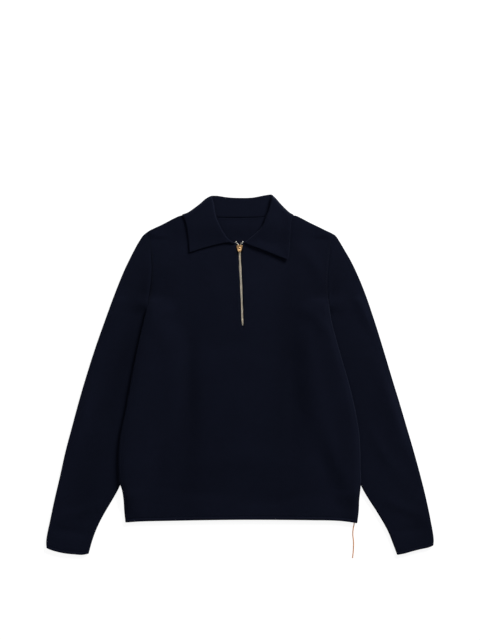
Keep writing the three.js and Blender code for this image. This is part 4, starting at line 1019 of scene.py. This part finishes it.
thick = sliderLook["pullThick"]
window = [(1.3, -thick / 2), (1.3, -2.6), (0.9, -thick / 2 - 2.9), (-0.9, -thick / 2 - 2.9), (-1.3, -2.6),
          (-1.3, -thick / 2)]
tab = plateShape(pullOutline(), -thick / 2, thick / 2, 0.24, 3, hole=window)
grip = [(1.7, -5.0), (1.9, -7.6), (1.0, -8.4), (-1.0, -8.4), (-1.9, -7.6), (-1.7, -5.0)]
addShape(tab, plateShape(grip, thick / 2 - 0.12, thick / 2 + 0.16, 0.1, 2))
bmesh.ops.transform(tab, matrix=Matrix.Translation((sliderX, sliderY, plateTop + sliderLook["pinRise"])),
                    verts=tab.verts)
meshPiece("zip_pull_tab", tab, bronze, node="zip_pull", body="pull_tab")

# sewing: rows of stitches beside the zip, round its lower end and along the armholes
stitchLook = {"length": 2.5, "thick": 0.5, "pitch": 3.3, "sink": 0.1, "zipMargin": 3.2, "armholeMargin": 3.4,
              "colour": (0.0024, 0.0030, 0.0062)}


def stitchRow(whole, surface, line):
    # lays stitches on the cloth along a line of places, in mm, each turned along the line
    shape = bmesh.new()
    bmesh.ops.create_icosphere(shape, subdivisions=1, radius=0.5)
    size = Vector((stitchLook["length"], stitchLook["thick"], stitchLook["thick"]))
    bmesh.ops.scale(shape, vec=size, verts=shape.verts)
    points = np.array(line, float)
    run = np.concatenate([[0], np.cumsum(np.hypot(*np.diff(points, axis=0).T))])
    for at in np.arange(stitchLook["pitch"] / 2, run[-1], stitchLook["pitch"]):
        before, here, after = ([float(np.interp(at + step, run, points[:, k])) for k in (0, 1)]
                               for step in (-0.5, 0, 0.5))
        px, py = here
        hit = surface.ray_cast(Vector((px, py, 40)) * mm, Vector((0, 0, -1)))[0]
        if hit is not None:
            height = hit.z / mm + stitchLook["thick"] / 2 - stitchLook["sink"]
            turn = Matrix.Rotation(math.atan2(after[1] - before[1], after[0] - before[0]), 4, "Z")
            addShape(whole, shape, Matrix.Translation((px, py, height)) @ turn, keep=True)
    shape.free()


print("sewing")
frontTop = BVHTree.FromObject(front, bpy.context.evaluated_depsgraph_get())
sewing = bmesh.new()
low = cloth["slitLow"] - stitchLook["zipMargin"]
zipRows = {}
for side in (-1, 1):
    zipRows[side] = [(zipX(py) + side * (float(slitHalf(py)) + stitchLook["zipMargin"]), py)
                     for py in np.linspace(low, cloth["zipStitchTop"], 60)]
    stitchRow(sewing, frontTop, zipRows[side])
    edge = sides["right" if side < 0 else "left"]
    armhole = [(float(curve(edge, py)) - side * stitchLook["armholeMargin"], py)
               for py in np.linspace(cloth["armhole"][0] + 4, cloth["armhole"][1] - 4, 40)]
    stitchRow(sewing, frontTop, armhole)
stitchRow(sewing, frontTop, [zipRows[-1][0], zipRows[1][0]])
material, start = newMaterial("navy_thread")
finishMaterial(start, {}, {"Base Color": rgb(stitchLook["colour"]), "Roughness": 0.8,
                           "Specular IOR Level": 0.2})
meshPiece("front_stitches", sewing, material)

# light and floor
floorLook = {"size": 12.0, "white": 0.26, "glow": 0.88}
print("floor and light")
made = bmesh.new()
bmesh.ops.create_grid(made, x_segments=1, y_segments=1, size=floorLook["size"] / 2)
floorMesh = bpy.data.meshes.new("floor")
made.to_mesh(floorMesh)
made.free()
floor = bpy.data.objects.new("floor", floorMesh)
scene.collection.objects.link(floor)
material, start = newMaterial("pale_floor")
finishMaterial(start, {}, {"Base Color": rgb((floorLook["white"],) * 3), "Roughness": 0.9,
                           "Emission Color": rgb((1.0, 1.0, 1.0)), "Emission Strength": floorLook["glow"]})
floorMesh.materials.append(material)

world = bpy.data.worlds.new("studio")
scene.world = world
world.use_nodes = True
sky = world.node_tree.nodes["Background"]
sky.inputs["Color"].default_value = (0.93, 0.96, 1.0, 1.0)
sky.inputs["Strength"].default_value = 0.13
lightLook = [  # name, place, size, power
    ("key", (2.3, 3.2, 1.75), 1.6, 244.0),
    ("fill", (-2.2, 1.0, 1.8), 1.6, 13.0),
    ("top", (0.0, 0.5, 3.4), 1.0, 10.0),
]
for name, place, size, power in lightLook:
    data = bpy.data.lights.new(name, "AREA")
    data.shape = "DISK"
    data.size = size
    data.energy = power
    lamp = bpy.data.objects.new(name, data)
    lamp.location = place
    lamp.rotation_euler = (-Vector(place)).to_track_quat("-Z", "Y").to_euler()
    scene.collection.objects.link(lamp)

# the thread gets its material, is attached to the garment and replaces its CAD part last of the pieces
material, start = newMaterial("peach_thread")
place = start.node("ShaderNodeTexCoord", None, None, output=3)
across, along = place.axes()
twist = ((along + across * 1.3) * (math.pi * 2 / threadLook["twist"])).sine() * 0.5 + 0.5
fibre = start.noise(place, 2600.0, 3.0)
height = twist + fibre * 0.5
normal = start.node("ShaderNodeBump", None, {"Strength": 0.8, "Distance": 0.0003, "Height": height})
# share of the lighter colour: a painted highlight along the twist's ridges, plus random fibre colour
share = (twist * 0.5 + fibre * 0.6).clamped()
finishMaterial(start, {"Base Color": share.blend(rgb(threadLook["colour"]), rgb(threadLook["fibreAndHighlight"])),
                       "Normal": normal}, {"Roughness": 0.8, "Specular IOR Level": 0.2})
threadData.materials.append(material)
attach(thread, "garment")
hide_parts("thread")
